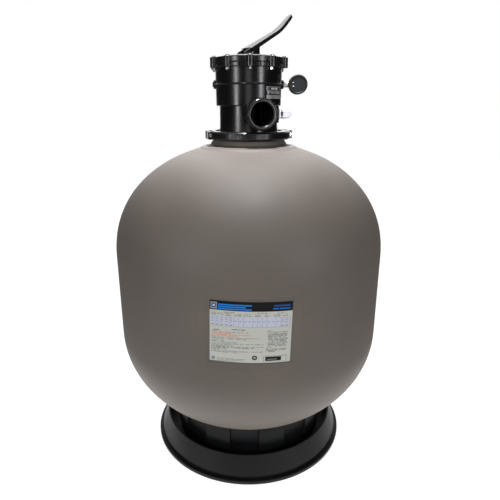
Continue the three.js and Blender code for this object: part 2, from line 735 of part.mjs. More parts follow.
function internals() {
  add('standpipe', ring(PIPE_R - 2.5, PIPE_R, LATERAL_Z + 21, 800), pipePlastic);
  add('top_diffuser', turned([
    [PIPE_R + GAP, 716], [56, 716], [56, 730], [53, 730], [53, 719], [PIPE_R + GAP, 719],
  ], MEDIUM), innerPlastic);
  const hubR = 38;
  const hub = solid(turned([
    [0, LATERAL_Z - 20], [hubR, LATERAL_Z - 20], [hubR, LATERAL_Z + 14], [31, LATERAL_Z + 30],
    [PIPE_R + GAP, LATERAL_Z + 30], [PIPE_R + GAP, LATERAL_Z + 20.6], [21, LATERAL_Z + 20.6],
    [21, LATERAL_Z - 12], [0, LATERAL_Z - 12],
  ], MEDIUM));
  const tube = turned([
    [0, LATERAL_PIVOT_R - 4], [LATERAL_R, LATERAL_PIVOT_R - 4], [LATERAL_R, LATERAL_TIP_R - 3],
    [LATERAL_R - 3, LATERAL_TIP_R], [0, LATERAL_TIP_R],
  ], SMALL);
  const ears = [];
  for (let i = 0; i < LATERALS; i++) {
    const azimuth = (360 / LATERALS) * (i + 0.5);
    for (const side of [-1, 1]) {
      const ear = block(
        side < 0 ? -12.5 : 9.8, side < 0 ? -9.8 : 12.5,
        -LATERAL_PIVOT_R - 6, -hubR + 3, LATERAL_Z - 6, LATERAL_Z + 6,
      );
      ears.push(solid(ear.rotateZ(deg(azimuth))));
    }
    add(`lateral_${i + 1}`, laid(tube.clone(), azimuth, LATERAL_Z), pipePlastic);
  }
  add('lateral_hub', toGeometry(join(hub, ...ears)), innerPlastic);
}

// ---- assembly ----

add('base', base(), basePlastic);
add('tank', tank(), tankPlastic);
add('rating_label', skin(
  TANK_R - RECESS_DEPTH + GAP, 0.6, LABEL_AZIMUTH - 15, LABEL_AZIMUTH + 15, 357, 484, RECESS_FACET,
), paper);
drain();
add('flange_oring', roundRing(64, 1.3, 760), rubber);
add('clamp_front_half', clampHalf(-1), valvePlastic);
add('clamp_rear_half', clampHalf(1), valvePlastic);
clampFasteners();
add('valve_body', valveBody(), valvePlastic);
add('valve_label', skin(UPPER_BODY_HIGH_R + GAP, 0.5, 30, 67.5, 834, 862, 360 / FINE), paper);
add('cover_oring', roundRing(70.1, 1.4, JOINT_Z - 1.6), rubber);
add('valve_cover', valveCover(), valvePlastic);
coverScrews();
selector();
gauge();
sightGlass();
internals();

export default filter;
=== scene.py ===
# %% [markdown]
# # A pool sand filter
# A moulded tank stands on a ring base. A clamp holds the selector valve on its neck, and the valve
# carries a lever, a pressure gauge and a sight glass. Each piece below is a surface worked out with
# numpy: a profile turned round an axis, or a section carried along a path. That way every fillet and
# taper is a formula, and the piece lands exactly where the frame says.

# %% Load the frame
import math

import bmesh
import bpy
import numpy as np
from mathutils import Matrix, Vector


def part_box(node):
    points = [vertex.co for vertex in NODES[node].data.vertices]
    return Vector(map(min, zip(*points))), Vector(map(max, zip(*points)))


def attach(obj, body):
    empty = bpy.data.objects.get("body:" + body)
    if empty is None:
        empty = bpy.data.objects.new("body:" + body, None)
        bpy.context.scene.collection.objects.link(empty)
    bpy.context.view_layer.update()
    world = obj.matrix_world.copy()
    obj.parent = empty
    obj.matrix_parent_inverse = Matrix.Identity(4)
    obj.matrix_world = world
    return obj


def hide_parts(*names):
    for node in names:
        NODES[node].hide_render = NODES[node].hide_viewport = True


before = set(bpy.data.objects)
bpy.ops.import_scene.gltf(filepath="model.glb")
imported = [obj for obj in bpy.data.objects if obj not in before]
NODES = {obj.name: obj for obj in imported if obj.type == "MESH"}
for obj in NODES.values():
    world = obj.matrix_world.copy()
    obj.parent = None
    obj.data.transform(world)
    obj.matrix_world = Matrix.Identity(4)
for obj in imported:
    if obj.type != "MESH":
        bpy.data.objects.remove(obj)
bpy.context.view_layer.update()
MM = 0.001


def box_mm(node):
    """A node's lowest and highest corners in millimetres."""
    low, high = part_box(node)
    return np.array(low) / MM, np.array(high) / MM


# %% [markdown]
# ## Camera and light
# The camera looks slightly down on the tank, level with the valve. The studio is white: the
# background and floor shine white. A narrow beam from overhead lights the dome, with a soft box
# above and behind, two soft boxes in front, and two tall strips in front, left and right. The
# strips are what draws the two upright highlights on the black valve.

# %% Camera
scene = bpy.context.scene
scene.view_settings.view_transform = "Standard"
camera = bpy.data.objects.new("camera", bpy.data.cameras.new("camera"))
scene.collection.objects.link(camera)
scene.camera = camera
camera.data.sensor_width = 36.0
camera.data.lens = 33.43
camera.data.shift_x = 0.0028
camera.data.clip_end = 50
camera.location = (0, -1.086, 0.8288)
camera.rotation_euler = (math.radians(90 - 17.54), 0, 0)
print("camera", tuple(camera.location))


# %% Studio light
def area_light(name, place, target, size, power, tint=(1, 1, 1)):
    """A rectangular soft box at a place, facing a target. Cameras don't see the box itself."""
    light = bpy.data.lights.new(name, "AREA")
    light.shape = "RECTANGLE"
    light.size, light.size_y = size
    light.energy = power
    light.color = tint
    lamp = bpy.data.objects.new(name, light)
    scene.collection.objects.link(lamp)
    lamp.location = place
    lamp.rotation_euler = (Vector(target) - Vector(place)).to_track_quat("-Z", "Y").to_euler()
    lamp.visible_camera = False
    return lamp


area_light("soft_box_back", (0, 1.1, 2.6), (0, 0, 0.6), (1.6, 1.4), 22)
area_light("soft_box_front", (0, -2.4, 2.1), (0, 0, 0.45), (2.4, 1.2), 14)
area_light("soft_box_level", (0, -2.6, 0.9), (0, 0, 0.8), (0.8, 0.6), 2.2)
for side in (-1, 1):
    strip = (side * 1.55, -1.7, 0.87)
    area_light(f"strip_{'left' if side < 0 else 'right'}", strip, (0, 0, 0.85), (0.38, 0.9), 13)


def top_spot():
    """A soft round beam from overhead that fades before it reaches the tank's wall."""
    light = bpy.data.lights.new("top_spot", "SPOT")
    light.energy = 510
    light.color = (0.93, 0.96, 1.0)
    light.spot_size = math.radians(16.6)
    light.spot_blend = 0.9
    light.shadow_soft_size = 0.12
    lamp = bpy.data.objects.new("top_spot", light)
    scene.collection.objects.link(lamp)
    lamp.location = (0, -0.42, 2.7)
    aim = Vector((0, -0.01, 0.7)) - lamp.location
    lamp.rotation_euler = aim.to_track_quat("-Z", "Y").to_euler()
    lamp.visible_camera = False


top_spot()


# %% White studio
def seen_directly(tree):
    """1 for rays from the camera, and for rays that come to it through clear plastic."""
    rays = tree.nodes.new("ShaderNodeLightPath")
    either = tree.nodes.new("ShaderNodeMath")
    either.operation = "MAXIMUM"
    tree.links.new(rays.outputs["Is Camera Ray"], either.inputs[0])
    tree.links.new(rays.outputs["Is Transmission Ray"], either.inputs[1])
    return either.outputs[0]


def studio_world():
    """White behind the object for the camera. For reflections the room is dim in front, white
    straight behind and bright overhead, which gives black plastic its thin bright rims."""
    world = bpy.data.worlds.new("studio")
    scene.world = world
    world.use_nodes = True
    tree = world.node_tree
    tree.nodes.clear()
    output = tree.nodes.new("ShaderNodeOutputWorld")
    place = tree.nodes.new("ShaderNodeTexCoord")
    parts = tree.nodes.new("ShaderNodeSeparateXYZ")
    tree.links.new(place.outputs["Generated"], parts.inputs[0])

    def ramp(source, stops):
        node = tree.nodes.new("ShaderNodeMapRange")
        node.interpolation_type = "SMOOTHSTEP"
        node.inputs["From Min"].default_value = stops[0]
        node.inputs["From Max"].default_value = stops[1]
        node.inputs["To Min"].default_value = stops[2]
        node.inputs["To Max"].default_value = stops[3]
        tree.links.new(source, node.inputs["Value"])
        return node.outputs["Result"]

    back = ramp(parts.outputs["Y"], (0.55, 0.9, 0.0, 1.6))
    raised = ramp(parts.outputs["Z"], (0.1, 0.3, 0.0, 1.0))
    top = ramp(parts.outputs["Z"], (0.0, 0.9, 0.03, 0.2))
    total = tree.nodes.new("ShaderNodeMath")
    total.operation = "MULTIPLY_ADD"
    for number, value in enumerate((back, raised, top)):
        tree.links.new(value, total.inputs[number])
    behind = ramp(parts.outputs["Y"], (0.86, 0.97, 0.0, 2.0))
    whole = tree.nodes.new("ShaderNodeMath")
    whole.operation = "MAXIMUM"
    tree.links.new(total.outputs[0], whole.inputs[0])
    tree.links.new(behind, whole.inputs[1])
    room = tree.nodes.new("ShaderNodeBackground")
    room.inputs["Color"].default_value = (1, 1, 1, 1)
    tree.links.new(whole.outputs[0], room.inputs["Strength"])
    paper = tree.nodes.new("ShaderNodeBackground")
    paper.inputs["Color"].default_value = (1, 1, 1, 1)
    paper.inputs["Strength"].default_value = 1.0
    mix = tree.nodes.new("ShaderNodeMixShader")
    tree.links.new(seen_directly(tree), mix.inputs[0])
    tree.links.new(room.outputs[0], mix.inputs[1])
    tree.links.new(paper.outputs[0], mix.inputs[2])
    tree.links.new(mix.outputs[0], output.inputs["Surface"])


studio_world()


# %% Floor
def white_floor():
    """A wide white sheet under the object. It glows evenly for the camera, as lit paper does. For
    everything else it is a painted pool of light: it glows strongly round the object's foot, which
    lights the tank's lower dome, and further out it fades to a glow much less than the camera sees."""
    half = 6.0
    mesh = bpy.data.meshes.new("floor")
    corners = [(-half, -half, 0), (half, -half, 0), (half, half, 0), (-half, half, 0)]
    mesh.from_pydata(corners, [], [(0, 1, 2, 3)])
    floor = bpy.data.objects.new("floor", mesh)
    scene.collection.objects.link(floor)
    paint = bpy.data.materials.new("floor_paper")
    paint.use_nodes = True
    shader = paint.node_tree.nodes["Principled BSDF"]
    shader.inputs["Base Color"].default_value = (0.3, 0.3, 0.3, 1)
    shader.inputs["Roughness"].default_value = 0.9
    shader.inputs["Emission Color"].default_value = (1, 1, 1, 1)
    tree = paint.node_tree
    place = tree.nodes.new("ShaderNodeTexCoord")
    reach = tree.nodes.new("ShaderNodeVectorMath")
    reach.operation = "LENGTH"
    tree.links.new(place.outputs["Object"], reach.inputs[0])
    # Painted pool of light for rays other than the camera's: the glow is 1.45 within 0.4 m of the
    # centre and fades to 0.06 by 0.85 m.
    painted_light_pool = tree.nodes.new("ShaderNodeMapRange")
    painted_light_pool.interpolation_type = "SMOOTHSTEP"
    for socket, value in (("From Min", 0.4), ("From Max", 0.85), ("To Min", 1.45), ("To Max", 0.06)):
        painted_light_pool.inputs[socket].default_value = value
    tree.links.new(reach.outputs["Value"], painted_light_pool.inputs["Value"])
    glow = tree.nodes.new("ShaderNodeMix")
    tree.links.new(seen_directly(tree), glow.inputs[0])
    tree.links.new(painted_light_pool.outputs["Result"], glow.inputs[2])
    glow.inputs[3].default_value = 0.9
    tree.links.new(glow.outputs[0], shader.inputs["Emission Strength"])
    mesh.materials.append(paint)


white_floor()

# %% [markdown]
# ## Surface helpers
# A shell is a grid of points, row by row. Rows may close on themselves, and a row whose points all
# meet makes a pole. A piece is one or more shells welded into one mesh, in metres.

# %% Grids and meshes
def grid_shell(points, wrap_rows=False, wrap_columns=True):
    """Vertices and four-sided faces of a grid of points with shape (rows, columns, 3)."""
    rows, columns = points.shape[:2]
    index = np.arange(rows * columns).reshape(rows, columns)
    if wrap_rows:
        index = np.vstack([index, index[:1]])
    if wrap_columns:
        index = np.hstack([index, index[:, :1]])
    faces = np.stack([index[:-1, :-1], index[:-1, 1:], index[1:, 1:], index[1:, :-1]], -1)
    return points.reshape(-1, 3).astype(float), faces.reshape(-1, 4)


def facing_out(shell):
    """The same shell with its faces turned outwards: six times the enclosed volume is the sum of
    each triangle's triple product, and it is positive when the faces point out."""
    points, faces = shell
    a, b, c, d = (points[faces[:, i]] for i in range(4))
    volume = np.einsum("ij,ij->", a, np.cross(b, c)) + np.einsum("ij,ij->", a, np.cross(c, d))
    return (points, faces[:, ::-1]) if volume < 0 else shell


def joined(shells):
    """Several shells as one set of vertices and faces."""
    shells = [facing_out(shell) for shell in shells]
    starts = np.cumsum([0] + [len(points) for points, _ in shells[:-1]])
    points = np.vstack([points for points, _ in shells])
    faces = np.vstack([faces + start for (_, faces), start in zip(shells, starts)])
    return points, faces


def mesh_from(name, points, faces):
    """A mesh in metres with doubled points merged, so that poles and pinched edges close."""
    mesh = bpy.data.meshes.new(name)
    mesh.vertices.add(len(points))
    mesh.vertices.foreach_set("co", (points * MM).astype(np.float32).ravel())
    mesh.loops.add(faces.size)
    mesh.loops.foreach_set("vertex_index", faces.astype(np.int32).ravel())
    mesh.polygons.add(len(faces))
    mesh.polygons.foreach_set("loop_start", np.arange(0, faces.size, 4, dtype=np.int32))
    mesh.update(calc_edges=True)
    work = bmesh.new()
    work.from_mesh(mesh)
    bmesh.ops.remove_doubles(work, verts=work.verts, dist=2e-6)
    bmesh.ops.dissolve_degenerate(work, edges=work.edges, dist=1e-7)
    work.to_mesh(mesh)
    work.free()
    return mesh


def smooth(mesh, angle=34):
    mesh.shade_smooth()
    mesh.set_sharp_from_angle(angle=math.radians(angle))


def placed(name, mesh, body, material, stands_for=()):
    """Put a finished mesh in the scene on a body, finish and replaced nodes."""
    piece = bpy.data.objects.new(name, mesh)
    scene.collection.objects.link(piece)
    mesh.materials.append(material)
    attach(piece, body)
    if stands_for:
        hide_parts(*stands_for)
    print(name, len(mesh.polygons), "faces")
    return piece


def piece_of(name, shells, body, material, stands_for=(), angle=34):
    mesh = mesh_from(name, *joined(shells))
    smooth(mesh, angle)
    return placed(name, mesh, body, material, stands_for)


# %% Profiles and turned surfaces
def filleted(corners, closed=False, steps=5):
    """Corner points (radius, height, fillet) joined by lines. At a corner with a fillet the line is
    replaced by a quadratic curve that leaves and meets the straight parts smoothly, and a guard
    point beside it keeps the flat parts flat under smooth shading."""
    corners = [tuple(corner) + (0,) * (3 - len(corner)) for corner in corners]
    points = np.array([corner[:2] for corner in corners], float)
    rows = []
    t = np.linspace(0, 1, steps + 1)[:, None]
    for i, (_, _, fillet) in enumerate(corners):
        here, before, after = points[i], points[i - 1], points[(i + 1) % len(points)]
        if fillet == 0 or (not closed and i in (0, len(points) - 1)):
            rows.append(here[None])
            continue
        reach_in, reach_out = np.linalg.norm(before - here), np.linalg.norm(after - here)
        to_before, to_after = (before - here) / reach_in, (after - here) / reach_out
        half = 0.5 * math.acos(np.clip(to_before @ to_after, -1, 1))
        cut = min(fillet / math.tan(half), 0.48 * reach_in, 0.48 * reach_out)
        bend = ((1 - t) ** 2 * (here + to_before * cut) + 2 * t * (1 - t) * here
                + t ** 2 * (here + to_after * cut))
        guard = 1.25 * cut
        if guard < 0.49 * reach_in:
            rows.append((here + to_before * guard)[None])
        rows.append(bend)
        if guard < 0.49 * reach_out:
            rows.append((here + to_after * guard)[None])
    return np.vstack(rows)


def azimuths(count):
    return np.linspace(0, 2 * np.pi, count, endpoint=False)


def turned_points(radius, height, angle):
    """Points at (radius, height) turned by each azimuth. Azimuth runs from -Y towards +X, so a
    point is (r sin a, -r cos a, z). Radius and height may vary with the azimuth."""
    radius = np.broadcast_to(np.asarray(radius, float).reshape(len(radius), -1),
                             (len(radius), len(angle)))
    height = np.broadcast_to(np.asarray(height, float).reshape(len(height), -1), radius.shape)
    return np.stack([radius * np.sin(angle), -radius * np.cos(angle), height], -1)


def turned(profile, count=96, closed=False):
    """A profile of (radius, height) points turned about Z, as a shell."""
    profile = np.asarray(profile, float)
    points = turned_points(profile[:, 0], profile[:, 1], azimuths(count))
    return grid_shell(points, wrap_rows=closed)


def moved(shell, rotation=None, offset=(0, 0, 0)):
    """A shell turned by a 3 x 3 matrix, then shifted."""
    points, faces = shell
    if rotation is not None:
        points = points @ np.asarray(rotation).T
    return points + np.asarray(offset, float), faces


def turn_about(axis, degrees):
    """The matrix of a turn about X, Y or Z."""
    c, s = math.cos(math.radians(degrees)), math.sin(math.radians(degrees))
    return np.array({
        "X": [[1, 0, 0], [0, c, -s], [0, s, c]],
        "Y": [[c, 0, s], [0, 1, 0], [-s, 0, c]],
        "Z": [[c, -s, 0], [s, c, 0], [0, 0, 1]],
    }[axis])


def laid(shell, azimuth, height):
    """A shell made about +Z, laid down with its axis along an azimuth at a height."""
    return moved(shell, turn_about("Z", azimuth) @ turn_about("X", 90), (0, 0, height))


def step_between(x, start, end):
    """0 before start, 1 after end, with a smooth rise between."""
    t = np.clip((x - start) / (end - start), 0, 1)
    return t * t * (3 - 2 * t)


def rounded_box(low, high, fillet, steps=4):
    """A box with round edges: each direction of a sphere is carried to the corner it points at,
    so that the sphere's eight parts become the corners and the gaps between them the faces."""
    low, high = np.asarray(low, float), np.asarray(high, float)
    quarter = np.linspace(0, np.pi / 2, steps + 1)
    lift = np.concatenate([-quarter[::-1], quarter])
    lift_side = np.repeat([-1.0, 1.0], steps + 1)
    turn = np.concatenate([quarter + k * np.pi / 2 for k in range(4)])
    side_x = np.repeat([1.0, -1.0, -1.0, 1.0], steps + 1)
    side_y = np.repeat([1.0, 1.0, -1.0, -1.0], steps + 1)
    half = (high - low) / 2 - fillet
    x = half[0] * side_x + fillet * np.cos(lift)[:, None] * np.cos(turn)
    y = half[1] * side_y + fillet * np.cos(lift)[:, None] * np.sin(turn)
    z = np.broadcast_to((half[2] * lift_side + fillet * np.sin(lift))[:, None], x.shape)
    points = np.stack([x, y, z], -1)
    poles = [np.broadcast_to([0, 0, s * (half[2] + fillet)], (1, len(turn), 3)) for s in (-1, 1)]
    return moved(grid_shell(np.concatenate([poles[0], points, poles[1]])),
                 offset=(low + high) / 2)


def thin_sheet(front, back):
    """A closed thin sheet from two grids of points. Rows run down the front and up the back, and
    the first and last columns of both meet halfway, which pinches the side edges shut."""
    middle = (front + back) / 2
    for grid in (front, back):
        grid[:, 0], grid[:, -1] = middle[:, 0], middle[:, -1]
    return grid_shell(np.concatenate([front, back[::-1]]), wrap_rows=True, wrap_columns=False)


# %% Joining and cutting
def carved(name, first, steps):
    """One clean mesh: each step adds a shell to the first or cuts one from it with a Boolean
    modifier, and the result is read back from the evaluated object. It is in metres."""
    def helper(shell, label):
        made = bpy.data.objects.new(label, mesh_from(label, *joined([shell])))
        scene.collection.objects.link(made)
        return made

    base = helper(first, name + "_base")
    helpers = []
    for number, (operation, shell) in enumerate(steps):
        tool = helper(shell, f"{name}_step_{number}")
        helpers.append(tool)
        modifier = base.modifiers.new(tool.name, "BOOLEAN")
        modifier.operation = {"add": "UNION", "cut": "DIFFERENCE"}[operation]
        modifier.solver, modifier.object = "MANIFOLD", tool
    bpy.context.view_layer.update()
    evaluated = base.evaluated_get(bpy.context.evaluated_depsgraph_get())
    mesh = bpy.data.meshes.new_from_object(evaluated)
    mesh.name = name
    for extra in [base, *helpers]:
        old = extra.data
        bpy.data.objects.remove(extra)
        bpy.data.meshes.remove(old)
    smooth(mesh)
    return mesh


# %% [markdown]
# ## Finishes
# Every finish is a node material on Object coordinates. Slow noise varies the colour and the
# roughness, and fine noise in the bump gives the grain that moulded plastic takes from its mould.

# %% Moulded plastic
def linear(red, green, blue):
    """A colour given in display values from 0 to 255, as linear values."""
    value = np.array([red, green, blue]) / 255
    return tuple(np.where(value <= 0.04045, value / 12.92, ((value + 0.055) / 1.055) ** 2.4)) + (1,)


def finish_nodes(name):
    """A new node material with its shader and its place on Object coordinates."""
    material = bpy.data.materials.new(name)
    material.use_nodes = True
    tree = material.node_tree
    place = tree.nodes.new("ShaderNodeTexCoord")
    return material, tree, tree.nodes["Principled BSDF"], place.outputs["Object"]


def noise(tree, place, scale, detail=2.0, stretch=None):
    node = tree.nodes.new("ShaderNodeTexNoise")
    node.inputs["Scale"].default_value = scale
    node.inputs["Detail"].default_value = detail
    if stretch:
        mapping = tree.nodes.new("ShaderNodeMapping")
        mapping.inputs["Scale"].default_value = stretch
        tree.links.new(place, mapping.inputs["Vector"])
        place = mapping.outputs["Vector"]
    tree.links.new(place, node.inputs["Vector"])
    return node.outputs["Fac"]


def between(tree, factor, low, high, span=(0.3, 0.7)):
    """A value that runs from low to high as the factor crosses a span."""
    node = tree.nodes.new("ShaderNodeMapRange")
    node.inputs["From Min"].default_value, node.inputs["From Max"].default_value = span
    node.inputs["To Min"].default_value = low
    node.inputs["To Max"].default_value = high
    tree.links.new(factor, node.inputs["Value"])
    return node.outputs["Result"]


def blended(tree, factor, first, second, span=(0.3, 0.7)):
    """A colour that runs from one to another as the factor crosses a span."""
    node = tree.nodes.new("ShaderNodeMix")
    node.data_type = "RGBA"
    tree.links.new(between(tree, factor, 0, 1, span), node.inputs["Factor"])
    for socket, colour in (("A", first), ("B", second)):
        target = [s for s in node.inputs if s.name == socket and s.type == "RGBA"][0]
        if isinstance(colour, tuple):
            target.default_value = colour
        else:
            tree.links.new(colour, target)
    return [s for s in node.outputs if s.type == "RGBA"][0]


def bump(tree, height, depth, strength=1.0, after=None):
    node = tree.nodes.new("ShaderNodeBump")
    node.inputs["Distance"].default_value = depth
    node.inputs["Strength"].default_value = strength
    tree.links.new(height, node.inputs["Height"])
    if after is not None:
        tree.links.new(after, node.inputs["Normal"])
    return node.outputs["Normal"]


def moulded(name, colour, darker, roughness, grain_mm, grain_depth, ripple_depth=0.0, scuffs=0.0,
            shine=0.5):
    """Moulded plastic. The colour drifts slowly between two shades and speckles with the grain,
    the roughness drifts with it, and the bump adds grain and, if asked, a slow ripple."""
    material, tree, shader, place = finish_nodes(name)
    drift = noise(tree, place, 9.0, 3.0)
    grain = noise(tree, place, 1 / (grain_mm * MM), 2.0)
    shade = blended(tree, drift, darker, colour)
    speckled = blended(tree, grain, shade, tuple(min(1, c * 1.12) for c in colour[:3]) + (1,),
                       (0.35, 1.3))
    normal = bump(tree, grain, grain_depth * MM)
    if ripple_depth:
        normal = bump(tree, noise(tree, place, 22.0, 1.0), ripple_depth * MM, 1.0, normal)
    rough_low, rough_high = roughness
    rough = between(tree, drift, rough_low, rough_high)
    if scuffs:
        mark = noise(tree, place, 60.0, 6.0, (1, 1, 0.25))
        speckled = blended(tree, mark, speckled, tuple(c + scuffs for c in colour[:3]) + (1,),
                           (0.66, 0.78))
    tree.links.new(speckled, shader.inputs["Base Color"])
    tree.links.new(rough, shader.inputs["Roughness"])
    tree.links.new(normal, shader.inputs["Normal"])
    shader.inputs["Specular IOR Level"].default_value = shine
    return material


TANK_PLASTIC = moulded("tank_plastic", linear(104, 96, 90), linear(98, 91, 85), (0.52, 0.6),
                       2.2, 0.3, 0.25, shine=0.4)
BASE_PLASTIC = moulded("base_plastic", linear(15, 16, 18), linear(11, 12, 13), (0.42, 0.56),
                       1.2, 0.08, 0.25, 0.006, 0.2)
VALVE_PLASTIC = moulded("valve_plastic", linear(12, 12, 13), linear(8, 8, 9), (0.2, 0.3),
                        0.9, 0.012, 0.03)
INNER_PLASTIC = moulded("inner_plastic", linear(42, 43, 46), linear(34, 35, 38), (0.4, 0.5),
                        0.9, 0.03)
PIPE_PLASTIC = moulded("pipe_plastic", linear(232, 231, 226), linear(221, 220, 214), (0.35, 0.45),
                       0.8, 0.02)
GAUGE_PLASTIC = moulded("gauge_plastic", linear(18, 20, 24), linear(15, 17, 20), (0.5, 0.6),
                        0.6, 0.03)
RUBBER = moulded("rubber", linear(24, 24, 24), linear(17, 17, 17), (0.75, 0.85), 0.5, 0.03)


# %% Metals, tape and clear plastic
def metal(name, colour, darker, roughness):
    """Turned metal with fine streaks round it and a little tarnish."""
    material, tree, shader, place = finish_nodes(name)
    streak = noise(tree, place, 900.0, 2.0, (1, 1, 4))
    stain = noise(tree, place, 120.0, 3.0)
    tree.links.new(blended(tree, stain, darker, colour), shader.inputs["Base Color"])
    tree.links.new(between(tree, streak, *roughness), shader.inputs["Roughness"])
    tree.links.new(bump(tree, streak, 0.02 * MM, 0.5), shader.inputs["Normal"])
    shader.inputs["Metallic"].default_value = 1.0
    return material


STEEL = metal("stainless_steel", linear(222, 222, 225), linear(196, 197, 202), (0.16, 0.32))
BRASS = metal("brass", linear(160, 128, 70), linear(112, 86, 44), (0.25, 0.42))
TAPE = moulded("thread_tape", linear(238, 238, 240), linear(222, 222, 226), (0.4, 0.6), 0.5, 0.06)


def clear_plastic(name):
    """Clear moulded plastic: light passes through, and its faint ripple bends it a little."""
    material, tree, shader, place = finish_nodes(name)
    drift = noise(tree, place, 90.0, 2.0)
    shader.inputs["Transmission Weight"].default_value = 1.0
    shader.inputs["IOR"].default_value = 1.46
    tree.links.new(between(tree, drift, 0.01, 0.04), shader.inputs["Roughness"])
    tree.links.new(blended(tree, drift, (0.93, 0.95, 0.99, 1), (0.97, 0.98, 1, 1)),
                   shader.inputs["Base Color"])
    tree.links.new(bump(tree, drift, 0.004 * MM), shader.inputs["Normal"])
    return material


CLEAR = clear_plastic("clear_plastic")


def printed(name, roughness):
    """A print: the ink's colours are stored on the mesh, and paper fibre roughens the gloss."""
    material, tree, shader, place = finish_nodes(name)
    ink = tree.nodes.new("ShaderNodeAttribute")
    ink.attribute_name = "ink"
    fibre = noise(tree, place, 1500.0, 3.0)
    shade = tree.nodes.new("ShaderNodeMix")
    shade.data_type = "RGBA"
    shade.blend_type = "MULTIPLY"
    shade.inputs["Factor"].default_value = 1.0
    colours = [s for s in shade.inputs if s.type == "RGBA"]
    tree.links.new(ink.outputs["Color"], colours[0])
    tree.links.new(blended(tree, fibre, (0.94, 0.94, 0.94, 1), (1, 1, 1, 1)), colours[1])
    tree.links.new([s for s in shade.outputs if s.type == "RGBA"][0], shader.inputs["Base Color"])
    tree.links.new(between(tree, fibre, *roughness), shader.inputs["Roughness"])
    tree.links.new(bump(tree, fibre, 0.01 * MM), shader.inputs["Normal"])
    shader.inputs["Specular IOR Level"].default_value = 0.25
    return material


PRINT = printed("label_print", (0.38, 0.5))
DIAL_PRINT = printed("dial_print", (0.45, 0.55))


def store_ink(mesh, colours):
    """Write one linear colour for each vertex into the mesh's ink attribute."""
    layer = mesh.color_attributes.new("ink", "FLOAT_COLOR", "POINT")
    values = np.hstack([colours, np.ones((len(colours), 1))]).astype(np.float32)
    layer.data.foreach_set("color", values.ravel())


# %% [markdown]
# ## Tank
# The tank is blow moulded in one piece, so it has no seams, only soft transitions: two flattened
# domes, a stepped pad under the neck, and a shallow dished panel for the label. One profile turned
# about Z makes it, and the panel is pressed in by a formula in azimuth and height.

# %% Tank profile
TANK_R = 311.0
WALL_LOW, WALL_HIGH = 309.4, 497.1
TANK_WALL = 8.0


def dome(rise, power, shrink, turns):
    """A quarter superellipse: r = R cos(t)^(2/p) and z = rise sin(t)^(2/p)."""
    bend = 2 / power
    return np.stack([(TANK_R - shrink) * np.cos(turns) ** bend,
                     (rise - shrink) * np.sin(turns) ** bend], -1)


def tank_profile():
    """Outside from the bottom pole up to the neck, then the inside back down to its own pole, and
    how many of the points belong to the outside below the neck."""
    eased = np.linspace(0, 1, 60) ** 1.4
    low = dome(244.4, 2.025, 0, eased * np.pi / 2)
    low[-1, 0] = 0
    low = np.stack([low[:, 0], WALL_LOW - low[:, 1]], -1)[::-1]
    fine = [edge + step for edge in (343.5, 354.4, 490.8) for step in np.linspace(-1.6, 1.6, 9)]
    wall = np.unique(np.concatenate([np.linspace(WALL_LOW, WALL_HIGH, 80)[1:-1], fine]))
    wall = np.stack([np.full_like(wall, TANK_R), wall], -1)
    top = dome(246.6, 2.165, 0, np.linspace(0, 1, 60) ** 1.4 * 1.16)
    top = np.stack([top[:, 0], WALL_HIGH + top[:, 1]], -1)
    neck = filleted([
        top[-2], (*top[-1], 3), (127, 727.2, 3), (112, 732.2, 4), (106, 736, 3), (90, 738.6, 5),
        (79.9, 741.5, 3.4), (79.7, 750.6, 1.4), (75, 752.2, 0.6), (75, 756.5, 0.6), (83, 756.5, 0.6),
        (83, 761.4, 0.8), (69.5, 761.4, 0.5), (62, 755.9, 0.5), (62, 727, 4), (95, 722, 4),
    ])[1:-1]
    inside_top = dome(246.6, 2.165, TANK_WALL, np.linspace(0, 1, 24) * 1.2)[::-1]
    inside_top = np.stack([inside_top[:, 0], WALL_HIGH + inside_top[:, 1]], -1)
    inside_low = dome(244.4, 2.025, TANK_WALL, np.linspace(0, 1, 30) * np.pi / 2)
    inside_low[-1, 0] = 0
    inside_low = np.stack([inside_low[:, 0], WALL_LOW - inside_low[:, 1]], -1)
    outside = len(low) + len(wall) + len(top) - 1
    return np.vstack([low, wall, top[:-1], neck, inside_top, inside_low]), outside


# %% Label panel and tank
PANEL_AZIMUTH = 0.6
PANEL_OUTER = (18.6, 343.5, 503.0)      # half width in degrees, lowest and highest edge
PANEL_INNER = (15.5, 354.4, 490.8)
PANEL_DEPTH = 3.0


def panel_dish(azimuth, height):
    """How far the label panel is pressed in: 0 at its outer frame and 1 at its inner frame."""
    across = np.abs(azimuth - PANEL_AZIMUTH)
    sides = (PANEL_OUTER[0] - across) / (PANEL_OUTER[0] - PANEL_INNER[0])
    below = (height - PANEL_OUTER[1]) / (PANEL_INNER[1] - PANEL_OUTER[1])
    above = (PANEL_OUTER[2] - height) / (PANEL_OUTER[2] - PANEL_INNER[2])
    inside = np.minimum(np.minimum(sides, below), above)
    bevel = 0.17 * step_between(inside, -0.02, 0.06) + 0.5 * np.clip(inside, 0, 1)
    return bevel + 0.33 * step_between(inside, 0.96, 1.05)


def tank_azimuths():
    """Azimuths in degrees, close together across the panel and coarser round the rest."""
    edges = [PANEL_AZIMUTH + side * half for side in (-1, 1) for half in (18.6, 15.5)]
    fine = [edge + step for edge in edges for step in np.linspace(-0.4, 0.4, 11)]
    panel = np.unique(np.concatenate([np.linspace(-19.4, 20.6, 110), fine]))
    rest = np.linspace(20.6, 340.6, 134)[1:-1]
    return np.concatenate([panel, rest])


def tank_shell():
    profile, outside = tank_profile()
    degrees = tank_azimuths()
    radius = np.repeat(profile[:, :1], len(degrees), 1)
    height = np.repeat(profile[:, 1:], len(degrees), 1)
    wrapped = (degrees + 180) % 360 - 180
    outer = (radius > TANK_R - 20) & (np.arange(len(profile))[:, None] < outside)
    radius = radius - np.where(outer, PANEL_DEPTH * panel_dish(wrapped, height), 0)
    return grid_shell(turned_points(radius, height, np.radians(degrees)))


